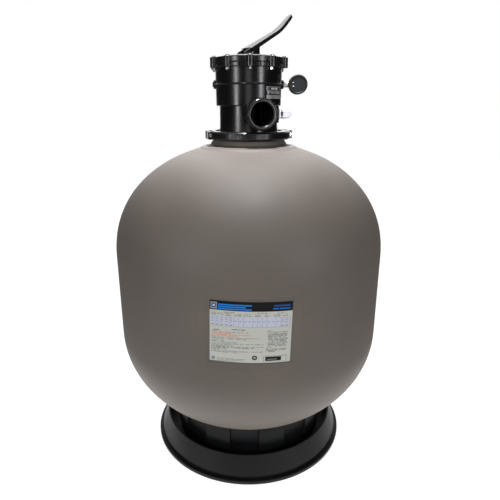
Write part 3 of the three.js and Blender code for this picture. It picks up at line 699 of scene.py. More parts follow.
def gusset(side):
    """A fin from the neck down to the pad: a triangle in side view, given a rounded thickness."""
    t = np.linspace(0, 1, 14)[:, None]
    across = np.linspace(-1, 1, 9)
    top = 751.2 - 12.6 * t ** 1.1
    x = 79.4 + 8.4 * t + 0 * across
    half = 2.4 + 0.4 * t
    y = across * half
    z = top - 1.2 * np.abs(across) ** 3 + 0 * t
    front = np.stack([x, y, z], -1)
    back = np.stack([x, y * 1.5, np.full_like(x, 731)], -1)
    front[0], back[0] = (front[0] + back[0]) / 2, (front[0] + back[0]) / 2
    points = np.concatenate([np.stack([np.full_like(x, 77), y, z], -1)[:1], front[1:]])
    base = np.concatenate([np.stack([np.full_like(x, 77), y * 1.5, 731 + 0 * x], -1)[:1], back[1:]])
    return moved(thin_sheet(points, base), turn_about("Z", 0 if side > 0 else 180))


DRAIN_LOW, DRAIN_HIGH = box_mm("drain_cap")
DRAIN_Z = (DRAIN_LOW[2] + DRAIN_HIGH[2]) / 2
drain_boss = turned(filleted([(0, 225), (25, 228, 3), (21.6, 250, 4), (21.6, 256.9, 1.2), (14, 256.9),
                              (14, 240), (0, 240)]), 48)
piece_of("tank_body", [tank_shell(), gusset(1), gusset(-1), laid(drain_boss, 180, DRAIN_Z)],
         "filter", TANK_PLASTIC, ["tank"], 40)

# %% [markdown]
# ## Base
# The base is one moulding: a foot lip, a flared skirt, and inside it a ring of panels that the tank
# sits on. Skirt and web are turned. The seat ring's radius steps in and out with the azimuth, which
# gives the row of raised and sunken panels.

# %% Base
SEAT_R = 184.0
SEAT_PANELS = 9
SEAT_AZIMUTH = 17.0
BASE_TOP = box_mm("base")[1][2]


def skirt_shell():
    profile = filleted([
        (232.5, 0, 0.8), (239.5, 0, 2.5), (239.5, 9.2, 3), (233.4, 9.9, 0.8), (229.6, 10.4, 0.6),
        (229.4, 14.8, 0.6), (230.6, 15.8, 0.5), (230.2, 17.4, 0.8), (214.4, 59.5, 1.0),
        (213.2, 60.4, 0.8), (210.2, 60.4, 1.2), (223.8, 17.5, 2), (182, 17.2, 1), (182, 13, 0.5),
        (225.5, 12.6, 1), (231.8, 7.4, 1),
    ], closed=True)
    return turned(profile, 240, closed=True)


def seat_shell():
    """The seat ring. Its outer radius is raised over each panel, with edges a few millimetres wide,
    and leans inwards towards the top. Sunken panels stop higher, above a dark slot."""
    degrees = np.linspace(0, 360, 720, endpoint=False)
    spacing = 360 / SEAT_PANELS
    near = np.abs((degrees - SEAT_AZIMUTH + spacing / 2) % spacing - spacing / 2)
    raised = 1 - step_between(near, 9.6, 10.1)
    rows = [(0, 16.8), (0, 44), (0, 45), (1, 47), (1, 48), (1, BASE_TOP - 2), (0.9, BASE_TOP - 0.7),
            (0.3, BASE_TOP)]
    outer = [SEAT_R + 6 * step * raised - (height - 17) * 0.03 for step, height in rows]
    inner = [np.full(len(degrees), SEAT_R - 4), np.full(len(degrees), SEAT_R - 4)]
    heights = [height for _, height in rows] + [BASE_TOP, 13]
    radius = np.array(outer + inner)
    height = np.array(heights)[:, None] + 0 * radius
    return grid_shell(turned_points(radius, height, np.radians(degrees)), wrap_rows=True)


piece_of("base_ring", [skirt_shell(), seat_shell()], "filter", BASE_PLASTIC, ["base"])

# %% [markdown]
# ## Rating label
# The label is a printed sheet stuck on the panel, a little askew as hand-placed labels are. Its
# print is generic: bars for a heading, a table and lines of unreadable text. The ink is worked out
# on a fine grid and stored on the mesh, so it needs no image.

# %% Ink
INK = {
    "paper": linear(196, 198, 190)[:3], "black": linear(14, 14, 18)[:3],
    "blue": linear(38, 128, 214)[:3], "deep_blue": linear(34, 82, 150)[:3],
    "lilac": linear(196, 200, 218)[:3], "grey": linear(128, 130, 128)[:3],
    "dark": linear(70, 70, 72)[:3], "orange": linear(226, 110, 66)[:3],
    "white": linear(214, 216, 216)[:3], "frame": linear(150, 152, 152)[:3],
}


def words(across, line, size):
    """A mask of word-like dashes along a line: blocks of a given size, each kept or left out by a
    sine of its number, so that the pattern looks irregular and never changes."""
    block = np.floor(across / size)
    return np.abs(np.sin(block * 12.9898 + line * 78.233) * 43758.5453) % 1 > 0.2


class Print:
    """Colours over a sheet. Across and down run from 0 to 1, and later strokes cover earlier."""

    def __init__(self, across, down, ground):
        self.across, self.down = across, down
        self.colour = np.empty(across.shape + (3,))
        self.colour[:] = INK[ground]

    def block(self, left, right, top, bottom, ink):
        inside = (self.across >= left) & (self.across <= right)
        inside &= (self.down >= top) & (self.down <= bottom)
        self.colour[inside] = INK[ink]

    def disc(self, x, y, radius, ink, shape=1.24):
        inside = (self.across - x) ** 2 + ((self.down - y) / shape) ** 2 <= radius ** 2
        self.colour[inside] = INK[ink]

    def text(self, left, right, top, height, ink, strength=0.75, size=0.011):
        inside = (self.across >= left) & (self.across <= right)
        inside &= (self.down >= top) & (self.down <= top + height)
        inside &= words(self.across, round(top * 997), size)
        self.colour[inside] += strength * (np.array(INK[ink]) - self.colour[inside])


def print_rating_label(across, down):
    sheet = Print(across, down, "paper")
    sheet.block(0, 1, 0, 0.152, "black")
    sheet.block(0.012, 0.088, 0.022, 0.135, "frame")
    sheet.disc(0.05, 0.078, 0.032, "deep_blue")
    sheet.disc(0.05, 0.078, 0.014, "white")
    for start, end, top in ((0.105, 0.50, 0.045), (0.105, 0.43, 0.078), (0.105, 0.50, 0.111)):
        sheet.block(start, end, top, top + 0.022, "blue")
    sheet.block(0.765, 0.965, 0.045, 0.075, "deep_blue")
    sheet.text(0.755, 0.97, 0.098, 0.018, "blue", 0.7)
    for left, right in ((0.02, 0.07), (0.17, 0.30), (0.58, 0.69), (0.82, 0.91)):
        sheet.text(left, right, 0.172, 0.012, "dark", 0.7)
    for row in (0.194, 0.218):
        for left, right in ((0.02, 0.08), (0.09, 0.17), (0.19, 0.27), (0.30, 0.39), (0.41, 0.50),
                            (0.54, 0.61), (0.66, 0.71), (0.77, 0.85), (0.88, 0.94)):
            sheet.text(left, right, row, 0.012, "grey", 0.8)
    sheet.block(0.012, 0.968, 0.242, 0.405, "lilac")
    for column in np.linspace(0.07, 0.968, 17):
        sheet.block(column - 0.0018, column + 0.0018, 0.242, 0.405, "frame")
    for column in range(17):
        left = 0.024 + 0.0562 * column
        for row in ((0.258, 0.292, 0.326, 0.376) if column in (0, 1, 2, 3, 4, 15, 16) else (0.31,)):
            sheet.block(left, left + 0.026, row, row + 0.012, "grey")
    sheet.block(0.012, 0.968, 0.403, 0.409, "frame")
    sheet.text(0.27, 0.43, 0.445, 0.016, "dark", 0.8)
    sheet.text(0.02, 0.13, 0.468, 0.014, "dark", 0.7)
    sheet.text(0.03, 0.47, 0.494, 0.012, "grey", 0.9)
    for right, row in ((0.26, 0.515), (0.50, 0.538), (0.35, 0.561)):
        sheet.text(0.03, right, row, 0.012, "orange", 0.95, 0.007)
    for right, row in ((0.60, 0.586), (0.45, 0.608)):
        sheet.text(0.02, right, row, 0.012, "grey", 0.9)
    for line, row in enumerate(np.arange(0.642, 0.85, 0.0212)):
        right = (0.18, 0.34, 0.66, 0.32, 0.66, 0.54, 0.22, 0.12, 0.65, 0.38)[line % 10]
        sheet.text(0.02, right, row, 0.013, "grey", 0.9)
    sheet.text(0.70, 0.78, 0.46, 0.014, "dark", 0.8)
    for line, row in enumerate(np.arange(0.483, 0.71, 0.0205)):
        sheet.text(0.71, (0.96, 0.93, 0.95)[line % 3], row, 0.013, "grey", 0.9)
    for line, row in enumerate(np.arange(0.74, 0.81, 0.0205)):
        sheet.text(0.69, (0.76, 0.95, 0.93, 0.80)[line % 4], row, 0.013, "grey", 0.9)
    sheet.disc(0.045, 0.955, 0.021, "deep_blue")
    sheet.disc(0.045, 0.955, 0.008, "lilac")
    for right, row in ((0.44, 0.940), (0.43, 0.960), (0.33, 0.980)):
        sheet.text(0.09, right, row, 0.012, "grey")
    sheet.disc(0.555, 0.915, 0.032, "black")
    sheet.disc(0.555, 0.915, 0.017, "frame")
    sheet.block(0.662, 0.952, 0.885, 0.988, "frame")
    sheet.block(0.668, 0.946, 0.892, 0.981, "paper")
    sheet.block(0.688, 0.884, 0.898, 0.968, "black")
    sheet.block(0.71, 0.83, 0.938, 0.95, "frame")
    return sheet.colour


# %% Label sheet
def curved_label(name, painter, centre, size, radius, tilt, pitch, stands_for):
    """A printed sheet on an upright cylinder. Centre is azimuth in degrees and height, and a tilt
    shears each row and column by its sine."""
    columns, rows = int(size[0] / pitch), int(size[1] / pitch)
    down, across = np.meshgrid(np.linspace(0, 1, rows), np.linspace(0, 1, columns), indexing="ij")
    along = (across - 0.5) * size[0]
    up = (0.5 - down) * size[1]
    lean = math.radians(tilt)
    angle = np.radians(centre[0]) + (along + up * math.sin(lean)) / radius
    height = centre[1] + up - along * math.sin(lean)
    thickness = 0.35
    front = np.stack([radius * np.sin(angle), -radius * np.cos(angle), height], -1)
    inner = radius - thickness
    back = np.stack([inner * np.sin(angle), -inner * np.cos(angle), height], -1)
    colour = painter(across, down)
    points, faces = facing_out(thin_sheet(front, back))
    mesh = bpy.data.meshes.new(name)
    mesh.from_pydata((points * MM).tolist(), [], faces.tolist())
    store_ink(mesh, np.concatenate([colour, colour[::-1]]).reshape(-1, 3))
    mesh.shade_smooth()
    return placed(name, mesh, "filter", PRINT, stands_for)


curved_label("rating_print", print_rating_label, (0.75, 420.5), (155.8, 125.2),
             TANK_R - PANEL_DEPTH + 0.55, 1.5, 0.68, ["rating_label"])

# %% [markdown]
# ## Clamp
# Two half hoops of glass-filled plastic hold the valve's flange to the tank's collar. Each half is
# a section carried round half a turn, with a lug at each end for a bolt. The lugs are boxes with
# round edges, joined to the hoop and cut by the bolt pocket.

# %% Clamp halves
CLAMP_LOW, CLAMP_HIGH = box_mm("clamp_front_half")[0][2], box_mm("clamp_front_half")[1][2]
CLAMP_MID = (CLAMP_LOW + CLAMP_HIGH) / 2
CLAMP_TURN = 15.0
BOLT_X = 90.0
LUG_X = 96.0


def hoop_half():
    """The hoop's section with a hooked inside, carried from one joint to the other. A band of
    small upright ribs across the middle of the front gives a grip."""
    section = filleted([
        (75.6, CLAMP_LOW, 0.8), (91.5, CLAMP_LOW, 1.2), (94, CLAMP_LOW + 3, 2.2),
        (94, CLAMP_HIGH - 3, 2.2), (91, CLAMP_HIGH, 1.6), (75.6, CLAMP_HIGH, 0.9),
        (75.6, CLAMP_HIGH - 3.1, 0.4), (83.3, CLAMP_HIGH - 3.1, 0.4), (83.3, CLAMP_LOW + 3.1, 0.4),
        (75.6, CLAMP_LOW + 3.1, 0.4),
    ], closed=True, steps=4)
    degrees = np.linspace(-89.6, 89.6, 420)
    radius = np.repeat(section[:, :1], len(degrees), 1)
    height = np.repeat(section[:, 1:], len(degrees), 1)
    ribs = (np.abs(degrees + CLAMP_TURN) < 24) * np.maximum(0, np.sin(np.radians(degrees) * 150))
    outer = np.exp(-((height - CLAMP_MID) / 5.2) ** 8) * (radius > 93.5)
    radius = radius - 0.55 * ribs * outer
    points = turned_points(radius, height, np.radians(degrees))
    middle = points.mean(0)
    rings = points.transpose(1, 0, 2)
    caps = [np.broadcast_to(middle[end], (1, rings.shape[1], 3)) for end in (0, -1)]
    return grid_shell(np.concatenate([caps[0], rings, caps[1]]))


def ring_shell(inner, outer, low, high, fillet=0.5, count=64):
    return turned(filleted([(inner, low, fillet), (outer, low, fillet), (outer, high, fillet),
                            (inner, high, fillet)], closed=True, steps=3), count, closed=True)


def rod_shell(radius, low, high, fillet=0.5, count=48):
    return turned(filleted([(0, low), (radius, low, fillet), (radius, high, fillet), (0, high)],
                           steps=3), count)


def clamp_half(name, side):
    """A half hoop with two lugs, each with a hole and a square pocket for the bolt's head or nut."""
    lugs = []
    cuts = [("cut", rod_shell(83.4, CLAMP_LOW - 2, CLAMP_HIGH + 2, 0, 160))]
    for hand in (-1, 1):
        x = sorted((hand * 78, hand * LUG_X))
        lugs.append(rounded_box((x[0], -24, CLAMP_LOW), (x[1], -0.5, CLAMP_HIGH), 1.3))
        cuts.append(("cut", rounded_box((hand * BOLT_X - 5.4, -26, CLAMP_MID - 5.4),
                                        (hand * BOLT_X + 5.4, -19.2, CLAMP_MID + 5.4), 0.7)))
        hole = moved(rod_shell(3.6, -30, 30, 0, 24), turn_about("X", 90),
                     (hand * BOLT_X, 0, CLAMP_MID))
        cuts.append(("cut", hole))
    hoop = hoop_half()
    mesh = carved(name, lugs[0], [("add", lugs[1])] + cuts)
    hoop_mesh = mesh_from(name + "_hoop", *joined([hoop]))
    whole = merged_meshes(name, [mesh, hoop_mesh])
    turn = turn_about("Z", CLAMP_TURN + (0 if side < 0 else 180))
    turned_mesh(whole, turn)
    smooth(whole)
    stands_for = "clamp_front_half" if side < 0 else "clamp_rear_half"
    return placed(name, whole, "filter", VALVE_PLASTIC, [stands_for])


def merged_meshes(name, meshes):
    """Several meshes as one, keeping each one's vertices."""
    work = bmesh.new()
    for mesh in meshes:
        work.from_mesh(mesh)
    whole = bpy.data.meshes.new(name)
    work.to_mesh(whole)
    work.free()
    for mesh in meshes:
        bpy.data.meshes.remove(mesh)
    return whole


def turned_mesh(mesh, matrix, offset=(0, 0, 0)):
    """Turn and shift a mesh's own vertices, in metres."""
    points = np.empty(len(mesh.vertices) * 3, np.float32)
    mesh.vertices.foreach_get("co", points)
    points = points.reshape(-1, 3) @ np.asarray(matrix, np.float32).T + np.asarray(offset, np.float32)
    mesh.vertices.foreach_set("co", points.astype(np.float32).ravel())
    mesh.update()


clamp_half("clamp_hoop_front", -1)
clamp_half("clamp_hoop_rear", 1)


# %% Clamp bolts and nuts
def hex_shell(across_flats, low, high, chamfer=0.8):
    """A hexagon with chamfered ends: its radius follows the flats, r = h / cos of the angle to the
    nearest flat, and the ends are drawn in to a circle."""
    degrees = np.linspace(0, 360, 24, endpoint=False)
    flat = np.radians((degrees + 30) % 60 - 30)
    corner = across_flats / 2 / np.cos(flat)
    circle = np.full(len(degrees), across_flats / 2 * 0.98)
    rows = [0 * corner, circle, corner, corner, circle, 0 * corner]
    heights = [low, low, low + chamfer, high - chamfer, high, high]
    radius = np.array(rows)
    height = np.array(heights)[:, None] + 0 * radius
    return grid_shell(turned_points(radius, height, np.radians(degrees)))


def clamp_fastener(hand):
    """A round-headed bolt and its hex nut. The left head faces the front, the right one the rear."""
    name = "left" if hand < 0 else "right"
    lay = turn_about("Z", CLAMP_TURN) @ turn_about("X", 90 if hand < 0 else -90)
    centre = turn_about("Z", CLAMP_TURN) @ np.array([hand * BOLT_X, 0, 0]) + [0, 0, CLAMP_MID]
    bolt = turned(filleted([
        (0, -28), (2.6, -28, 0.3), (3.2, -27.2, 0.3), (3.2, 19.4, 0.2), (5.2, 19.4, 0.4),
        (5.2, 21.4, 0.6), (4.4, 23.3, 1.2), (2.0, 23.55, 0.4), (1.8, 21.8, 0.2), (0, 21.8)]), 32)
    piece_of(f"clamp_screw_{name}", [moved(bolt, lay, centre)], "filter", STEEL,
             [f"clamp_bolt_{name}"])
    nut = hex_shell(10.2, -24, -19.3)
    piece_of(f"clamp_hex_{name}", [moved(nut, lay, centre)], "filter", STEEL,
             [f"clamp_nut_{name}"])


clamp_fastener(-1)
clamp_fastener(1)

# %% [markdown]
# ## Valve body
# The body is a stepped tube: a lower water box with three ports, and a wider upper bowl whose
# flange carries ten screw lugs. The flange is a turned surface whose radius follows a lobed edge,
# so the lugs flow into the rim, and its pockets are pressed in by the same formula.

# %% Lobed edge
LUGS = 10
LUG_AZIMUTH = 2.3
LUG_CIRCLE = 78.3
LUG_R = 8.6
FLANGE_LOW, JOINT_Z, COVER_Z = 900.5, 911.0, 921.4


def off_lug(degrees):
    """Azimuth in degrees from the nearest lug."""
    spacing = 360 / LUGS
    return (degrees - LUG_AZIMUTH + spacing / 2) % spacing - spacing / 2


def lobed_edge(degrees, rim):
    """The flange's outline: the rim, or the outer side of the nearest lug circle if that is
    further out, r = c cos(a) + sqrt(R^2 - c^2 sin(a)^2), with the corner between them eased."""
    away = np.radians(off_lug(degrees))
    under = LUG_R ** 2 - (LUG_CIRCLE * np.sin(away)) ** 2
    lobe = np.where(under > 0, LUG_CIRCLE * np.cos(away) + np.sqrt(np.maximum(under, 0)), 0)
    sharp = 1.6
    return np.maximum(rim, lobe) + np.log1p(np.exp(-np.abs(rim - lobe) * sharp)) / sharp * 0.5


def flange_shell(low, high, rim, inner, pockets=False, soft=(1, 1), count=1080):
    """A flange between two heights with rounded edges, a lobed outline and a round inside. Rows
    hold how far each is drawn in from the edge, and soft scales the lower and upper rounding.
    Pockets are pressed into its wall beside the lugs."""
    degrees = np.linspace(0, 360, count, endpoint=False)
    edge = lobed_edge(degrees, rim)
    tall = high - low
    bend = [(1.6, 0), (0.5, 0.15), (0.12, 0.5), (0, 1.1)]
    rows = [(6, low), *[(inset * soft[0], low + rise * soft[0]) for inset, rise in bend]]
    rows += [(0, low + tall * f) for f in np.linspace(0.16, 0.84, 14)]
    rows += [*[(inset * soft[1], high - rise * soft[1]) for inset, rise in bend[::-1]], (6, high)]
    radius = np.array([edge - inset for inset, _ in rows])
    height = np.array([z for _, z in rows])[:, None] + 0 * radius
    if pockets:
        across = np.abs(np.abs(off_lug(degrees)) - 11.6)
        inside = step_between(5.4 - across, 0, 0.7)
        level = step_between(height, low + 1.4, low + 2.1) * step_between(high - height, 1.4, 2.1)
        radius = radius - 3.2 * inside * level
    ring = np.full((1, count), inner)
    radius = np.vstack([ring, radius, ring])
    height = np.vstack([0 * ring + low, height, 0 * ring + high])
    return grid_shell(turned_points(radius, height, np.radians(degrees)), wrap_rows=True)


# %% Body profile
RIB_Z = 868.0


def body_shell():
    """The stepped tube from the spigot in the neck up to under the flange, with its inner wall."""
    return turned(filleted([
        (57.7, 746, 0.6), (61.7, 746, 0.6), (61.7, 761.9, 0.3), (82.8, 761.9, 0.4),
        (82.8, 766.8, 0.6), (70, 766.9, 1), (66.2, 768.6, 3), (64.9, 780, 3), (64.6, 823.2, 0.6),
        (70.6, 823.4, 0.9), (72.1, 824.8, 1.2), (72.7, 866.2, 0.5), (74.2, 866.7, 0.5),
        (74.9, 868, 0.7), (74.2, 869.3, 0.5), (72.9, 869.8, 0.5), (73.2, 909, 0.5),
        (66.5, 909, 0.5), (66.5, 843, 1), (30, 843, 0.5), (25.3, 843, 0.5),
        (25.3, 746, 0.3), (29.3, 746, 0.3), (29.3, 838, 1.5), (60, 838, 1.5), (60, 771, 2),
        (57.7, 762, 1),
    ], closed=True, steps=5), 144, closed=True)


# %% Ports, bosses and the sight glass block
PORT_Z = 807.0
PORT_AZIMUTHS = (16, 157, 203)
PORT_REACH = 103.0
SIGHT_Z = 805.3


def port_tube():
    """A port: a tube that ends in a thick collar with a rounded lip."""
    return turned(filleted([
        (0, 48), (31, 50, 1), (28.4, 67, 5), (28.3, 84.4, 1.2), (32.0, 85.2, 1.4), (33, 87.4, 1.2),
        (33, 98.4, 2.4), (30.4, PORT_REACH, 3.6), (25.0, PORT_REACH, 2.6), (23.6, 99.4, 1),
        (23.5, 98, 0), (0, 98)], steps=8), 96)


def port_bore():
    """The water way through a port, with the shallow grooves of a pipe thread."""
    thread = [(23.5 + 0.35 * (i % 2), 97.6 - 1.1 * i) for i in range(18)]
    return turned([(0, 99)] + [(23.7, 99)] + thread + [(22.6, 76), (22.6, 38), (0, 38)], 96)


def valve_body():
    steps, holes = [], []
    for azimuth in PORT_AZIMUTHS:
        steps.append(("add", laid(port_tube(), azimuth, PORT_Z)))
        holes.append(("cut", laid(port_bore(), azimuth, PORT_Z)))
    for azimuth in (90, -90):
        boss = turned(filleted([(0, 66), (10.2, 66, 1), (9.4, 73.4, 1.5), (9, 76.9, 0.9), (0, 76.9)]),
                      48)
        steps.append(("add", laid(boss, azimuth, RIB_Z)))
        holes.append(("cut", laid(rod_shell(5.4, 60, 79, 0, 32), azimuth, RIB_Z)))
    steps.append(("add", rounded_box((50, -18, SIGHT_Z - 18), (67, 18, SIGHT_Z + 18), 1.8)))
    seat = turned(filleted([(0, 60), (14, 60), (12.4, 68.6, 1.2), (0, 68.6)]), 48)
    steps.append(("add", laid(seat, 90, SIGHT_Z)))
    sight_hole = turned([(0, 50), (6, 50), (6, 60), (9.8, 60), (9.8, 70), (0, 70)], 48)
    holes.append(("cut", laid(sight_hole, 90, SIGHT_Z)))
    steps.append(("cut", turned([(0, 772), (59.9, 772), (59.9, 837), (0, 837)], 96)))
    pipe = turned([(25.3, 760), (29.3, 760), (29.3, 838.5), (25.3, 838.5)], 96, closed=True)
    steps.append(("add", pipe))
    for azimuth in (70, 180, 290):
        web = rounded_box((-1.5, -61, 771), (1.5, -28, 838.6), 0.3)
        steps.append(("add", moved(web, turn_about("Z", azimuth))))
    body = carved("valve_casting", body_shell(), steps + holes)
    flange = mesh_from("flange", *joined([flange_shell(FLANGE_LOW, JOINT_Z, 79, 72.8, True, (1, 0.3))]))
    whole = merged_meshes("valve_casting", [body, flange])
    smooth(whole)
    return placed("valve_casting", whole, "filter", VALVE_PLASTIC, ["valve_body"])


valve_body()

# %% [markdown]
# ## Valve cover and its screws
# The cover is a dished disc with the same lobed edge as the body, a raised crown, and raised
# numbers for the selector's positions. Ten pan-head screws go through the lugs into hex nuts.

# %% Cover
def cover_shells():
    """The crown and its sunken floor, turned about the stem, with the lobed flange round them."""
    crown = turned(filleted([
        (8.1, 897, 0.3), (14, 897, 0.8), (14, 911.4, 0.5), (72, 911.4, 0.3), (72, 920.6, 0.5),
        (67.4, 921.3, 0.8), (66.8, 922.8, 1.2), (63, 924.3, 2), (59, 925, 2), (53, 925, 1.2),
        (51, 922, 1), (8.1, 922, 0.5),
    ], closed=True), 144, closed=True)
    return [crown, flange_shell(JOINT_Z + 0.3, COVER_Z, 79, 70, soft=(0.3, 1))]


piece_of("cover_casting", cover_shells(), "filter", VALVE_PLASTIC, ["valve_cover"])


# %% Raised numbers
def raised_text(text, size, depth):
    """A text's mesh in millimetres, centred on the origin, its front facing +Z."""
    curve = bpy.data.curves.new("text", "FONT")
    curve.body, curve.size, curve.extrude = text, size, depth / 2
    curve.align_x, curve.align_y = "CENTER", "CENTER"
    curve.resolution_u = 4
    holder = bpy.data.objects.new("text", curve)
    scene.collection.objects.link(holder)
    bpy.context.view_layer.update()
    graph = bpy.context.evaluated_depsgraph_get()
    mesh = bpy.data.meshes.new_from_object(holder.evaluated_get(graph))
    bpy.data.objects.remove(holder)
    bpy.data.curves.remove(curve)
    return mesh


def number_ring(name, texts, size, depth, places, body, material):
    """Numbers placed by a matrix and an offset each, joined into one piece, in metres."""
    meshes = []
    for text, (matrix, offset) in zip(texts, places):
        mesh = raised_text(text, size, depth)
        turned_mesh(mesh, np.asarray(matrix) * MM, np.asarray(offset) * MM)
        meshes.append(mesh)
    whole = merged_meshes(name, meshes)
    work = bmesh.new()
    work.from_mesh(whole)
    bmesh.ops.remove_doubles(work, verts=work.verts, dist=1e-6)
    bmesh.ops.recalc_face_normals(work, faces=work.faces)
    work.to_mesh(whole)
    work.free()
    smooth(whole, 30)
    return placed(name, whole, body, material)


POSITIONS = 6
cover_places = []
for position in range(POSITIONS):
    degrees = 38 + 360 / POSITIONS * (position + 0.5)
    spot = turn_about("Z", degrees)
    cover_places.append((spot @ turn_about("Z", 90), spot @ np.array([37.5, 0, 0]) + [0, 0, 922.3]))
number_ring("cover_numbers", [str(i + 1) for i in range(POSITIONS)], 9.0, 0.8, cover_places,
            "filter", VALVE_PLASTIC)


# %% Cover screws
def cover_screw(number):
    """A pan-head screw with a cross slot, its shank, and the hex nut under the flange."""
    degrees = np.linspace(0, 360, 32, endpoint=False)
    slot = np.maximum(np.abs(np.cos(np.radians(degrees * 2))) ** 14, 0.12)
    rows = [(0, 3.0), (2.5, 3.0), (2.5, 3.4), (3.6, 3.0), (4.1, 2.0), (4.2, 0.9), (4.2, 0.35),
            (2.5, 0.3), (2.5, -26), (0, -26)]
    radius = np.array([r + 0 * degrees for r, _ in rows])
    height = np.array([z for _, z in rows])[:, None] + 0 * radius
    radius[1], height[0], height[1] = 2.4 * slot, 1.6, 1.6
    radius[2] = 2.6 * slot + 0.2
    head = grid_shell(turned_points(radius, height + COVER_Z, np.radians(degrees)))
    nut = hex_shell(7.2, 895.0, 900.2, 0.6)
    azimuth = LUG_AZIMUTH + 360 / LUGS * number
    spot = (LUG_CIRCLE * math.sin(math.radians(azimuth)),
            -LUG_CIRCLE * math.cos(math.radians(azimuth)), 0)
    turn = turn_about("Z", 37.0 * number)
    shells = [moved(head, turn, spot), moved(nut, turn, spot)]
    piece_of(f"pan_screw_{number + 1:02d}", shells, "filter", STEEL,
             [f"cover_screw_{number + 1:02d}"])


for number in range(LUGS):
    cover_screw(number)

# %% [markdown]
# ## Lever, pin and washer
# The lever is a channel: a plate with turned-down sides. Its section is carried along the centre
# line, which rises, bends and ends in a rounded tip. Two cams under the hub press on the washer
# when the lever goes down. Everything on it rides with the lever, the pin rides with the stem.

# %% Lever arm
PIN_Z = 934.3
LEVER_TURN = 38.0
LOW_SLOPE, HIGH_SLOPE = math.radians(27), math.radians(42.9)
BEND_X, BEND_RUN = 83.3, 14.0
TIP_X = 119.5


def top_line(x):
    """Height of the arm's top over its distance from the pin: two slopes joined by a parabola."""
    before = 10.1 + math.tan(LOW_SLOPE) * x
    steeper = math.tan(HIGH_SLOPE) - math.tan(LOW_SLOPE)
    past = np.clip(x - (BEND_X - BEND_RUN), 0, 2 * BEND_RUN)
    beyond = np.maximum(x - (BEND_X + BEND_RUN), 0)
    return before + steeper * (past ** 2 / (4 * BEND_RUN) + beyond)


def top_slope(x):
    past = np.clip((x - (BEND_X - BEND_RUN)) / (2 * BEND_RUN), 0, 1)
    steeper = math.tan(HIGH_SLOPE) - math.tan(LOW_SLOPE)
    return np.arctan(math.tan(LOW_SLOPE) + steeper * past)


def lever_arm():
    """The channel section, 18 points round, carried along the centre line. Towards the tip its
    sides draw in along a circle and its hollow fills up, and both ends close on their middles."""
    x = np.concatenate([np.linspace(-6, 100, 70), 100 + 19.3 * np.sin(np.linspace(0, 1, 18)[1:]
                                                                    * np.pi / 2)])
    half = np.interp(x, (-6, BEND_X, 112), (17.4, 10.5, 7.6))
    nose = np.clip((x - 112) / (TIP_X + 0.6 - 112), 0, 1)
    half = half * np.sqrt(np.maximum(1 - nose ** 2, 0.02))
    deep = np.interp(x, (-6, 10, 60, 110, TIP_X), (9.5, 8.5, 7.5, 6.6, 5.2))
    hollow = np.interp(x, (-6, 8, 16, 104, 110, TIP_X), (0.2, 0.2, 1, 1, 0.1, 0.05))
    plate, wall, edge = 3.2, 2.8, 1.5
    wall_in = np.minimum(half - 1.2, half - wall)
    under = deep - (deep - plate) * hollow
    corner = np.array([0, 0.08, 0.3, 0.62, 1.0])
    left = [(-half, deep), (-half, deep * 0.55),
            *[(-half + edge * c ** 2 * 0.9, edge * (1 - c) ** 2 * 0.9) for c in corner]]
    right = [(-u, v) for u, v in left[::-1]]
    inner = [(wall_in, deep), (wall_in, under + 0.8), (wall_in - 0.8, under),
             (-(wall_in - 0.8), under), (-wall_in, under + 0.8), (-wall_in, deep)]
    section = left + right + inner
    u = np.stack([np.broadcast_to(a, x.shape) for a, _ in section], 1)
    v = np.stack([np.broadcast_to(b, x.shape) for _, b in section], 1)
    slope = top_slope(x)[:, None]
    points = np.stack([x[:, None] + v * np.sin(slope), u,
                       top_line(x)[:, None] - v * np.cos(slope)], -1)
    ends = [np.broadcast_to(points[k].mean(0), points[:1].shape) for k in (0, -1)]
    return grid_shell(np.concatenate([ends[0], points, ends[1]]))


# %% Lever hub and cams
def extruded(outline, low, high, bevel=1.0):
    """A flat outline in X and Z, thickened along Y with bevelled edges. Each point moves in along
    the mean of its two sides' normals, and each face closes on the outline's middle."""
    outline = np.asarray(outline, float)
    ahead, behind = np.roll(outline, -1, 0) - outline, outline - np.roll(outline, 1, 0)
    normal = sum(np.stack([d[:, 1], -d[:, 0]], -1) / np.linalg.norm(d, axis=1, keepdims=True)
                 for d in (ahead, behind))
    normal /= np.linalg.norm(normal, axis=1, keepdims=True)
    area = np.sum(outline[:, 0] * np.roll(outline[:, 1], -1) - np.roll(outline[:, 0], -1)
                  * outline[:, 1])
    inward = -normal * np.sign(area)
    middle = outline.mean(0)
    rows = [(None, low), (1.0, low), (0.3, low + 0.3 * bevel), (0, low + bevel),
            (0, high - bevel), (0.3, high - 0.3 * bevel), (1.0, high), (None, high)]
    points = []
    for inset, y in rows:
        flat = np.broadcast_to(middle, outline.shape) if inset is None else (
            outline + inward * bevel * inset)
        points.append(np.stack([flat[:, 0], np.full(len(flat), y), flat[:, 1]], -1))
    return grid_shell(np.array(points))


WASHER_TOP = box_mm("wear_washer")[1][2]
CAM_LOW = PIN_Z - WASHER_TOP - 0.3
CAM_RATE = 14.9


def cam_outline():
    """Side view of a hub cheek. The cam is an involute: in the direction turned by t from straight
    down, its distance from the pin is CAM_LOW + CAM_RATE t, so the stem rises evenly."""
    t = np.linspace(0, math.radians(27), 14)
    reach = CAM_LOW + CAM_RATE * t
    cam = np.stack([reach * np.sin(t) + CAM_RATE * np.cos(t),
                    -reach * np.cos(t) + CAM_RATE * np.sin(t)], -1)
    front = np.array([(20.3, 4.0), (20.4, 10.0), (19.5, top_line(19.5) - 1.5)])
    top = np.array([(8, top_line(8) - 1.2), (-4, top_line(-4) - 0.6), (-12, 3.4), (-19.4, -0.6),
                    (-20.6, -2.2), (-20.6, -8.7), (-19.8, -CAM_LOW)])
    return np.vstack([cam, front, top])


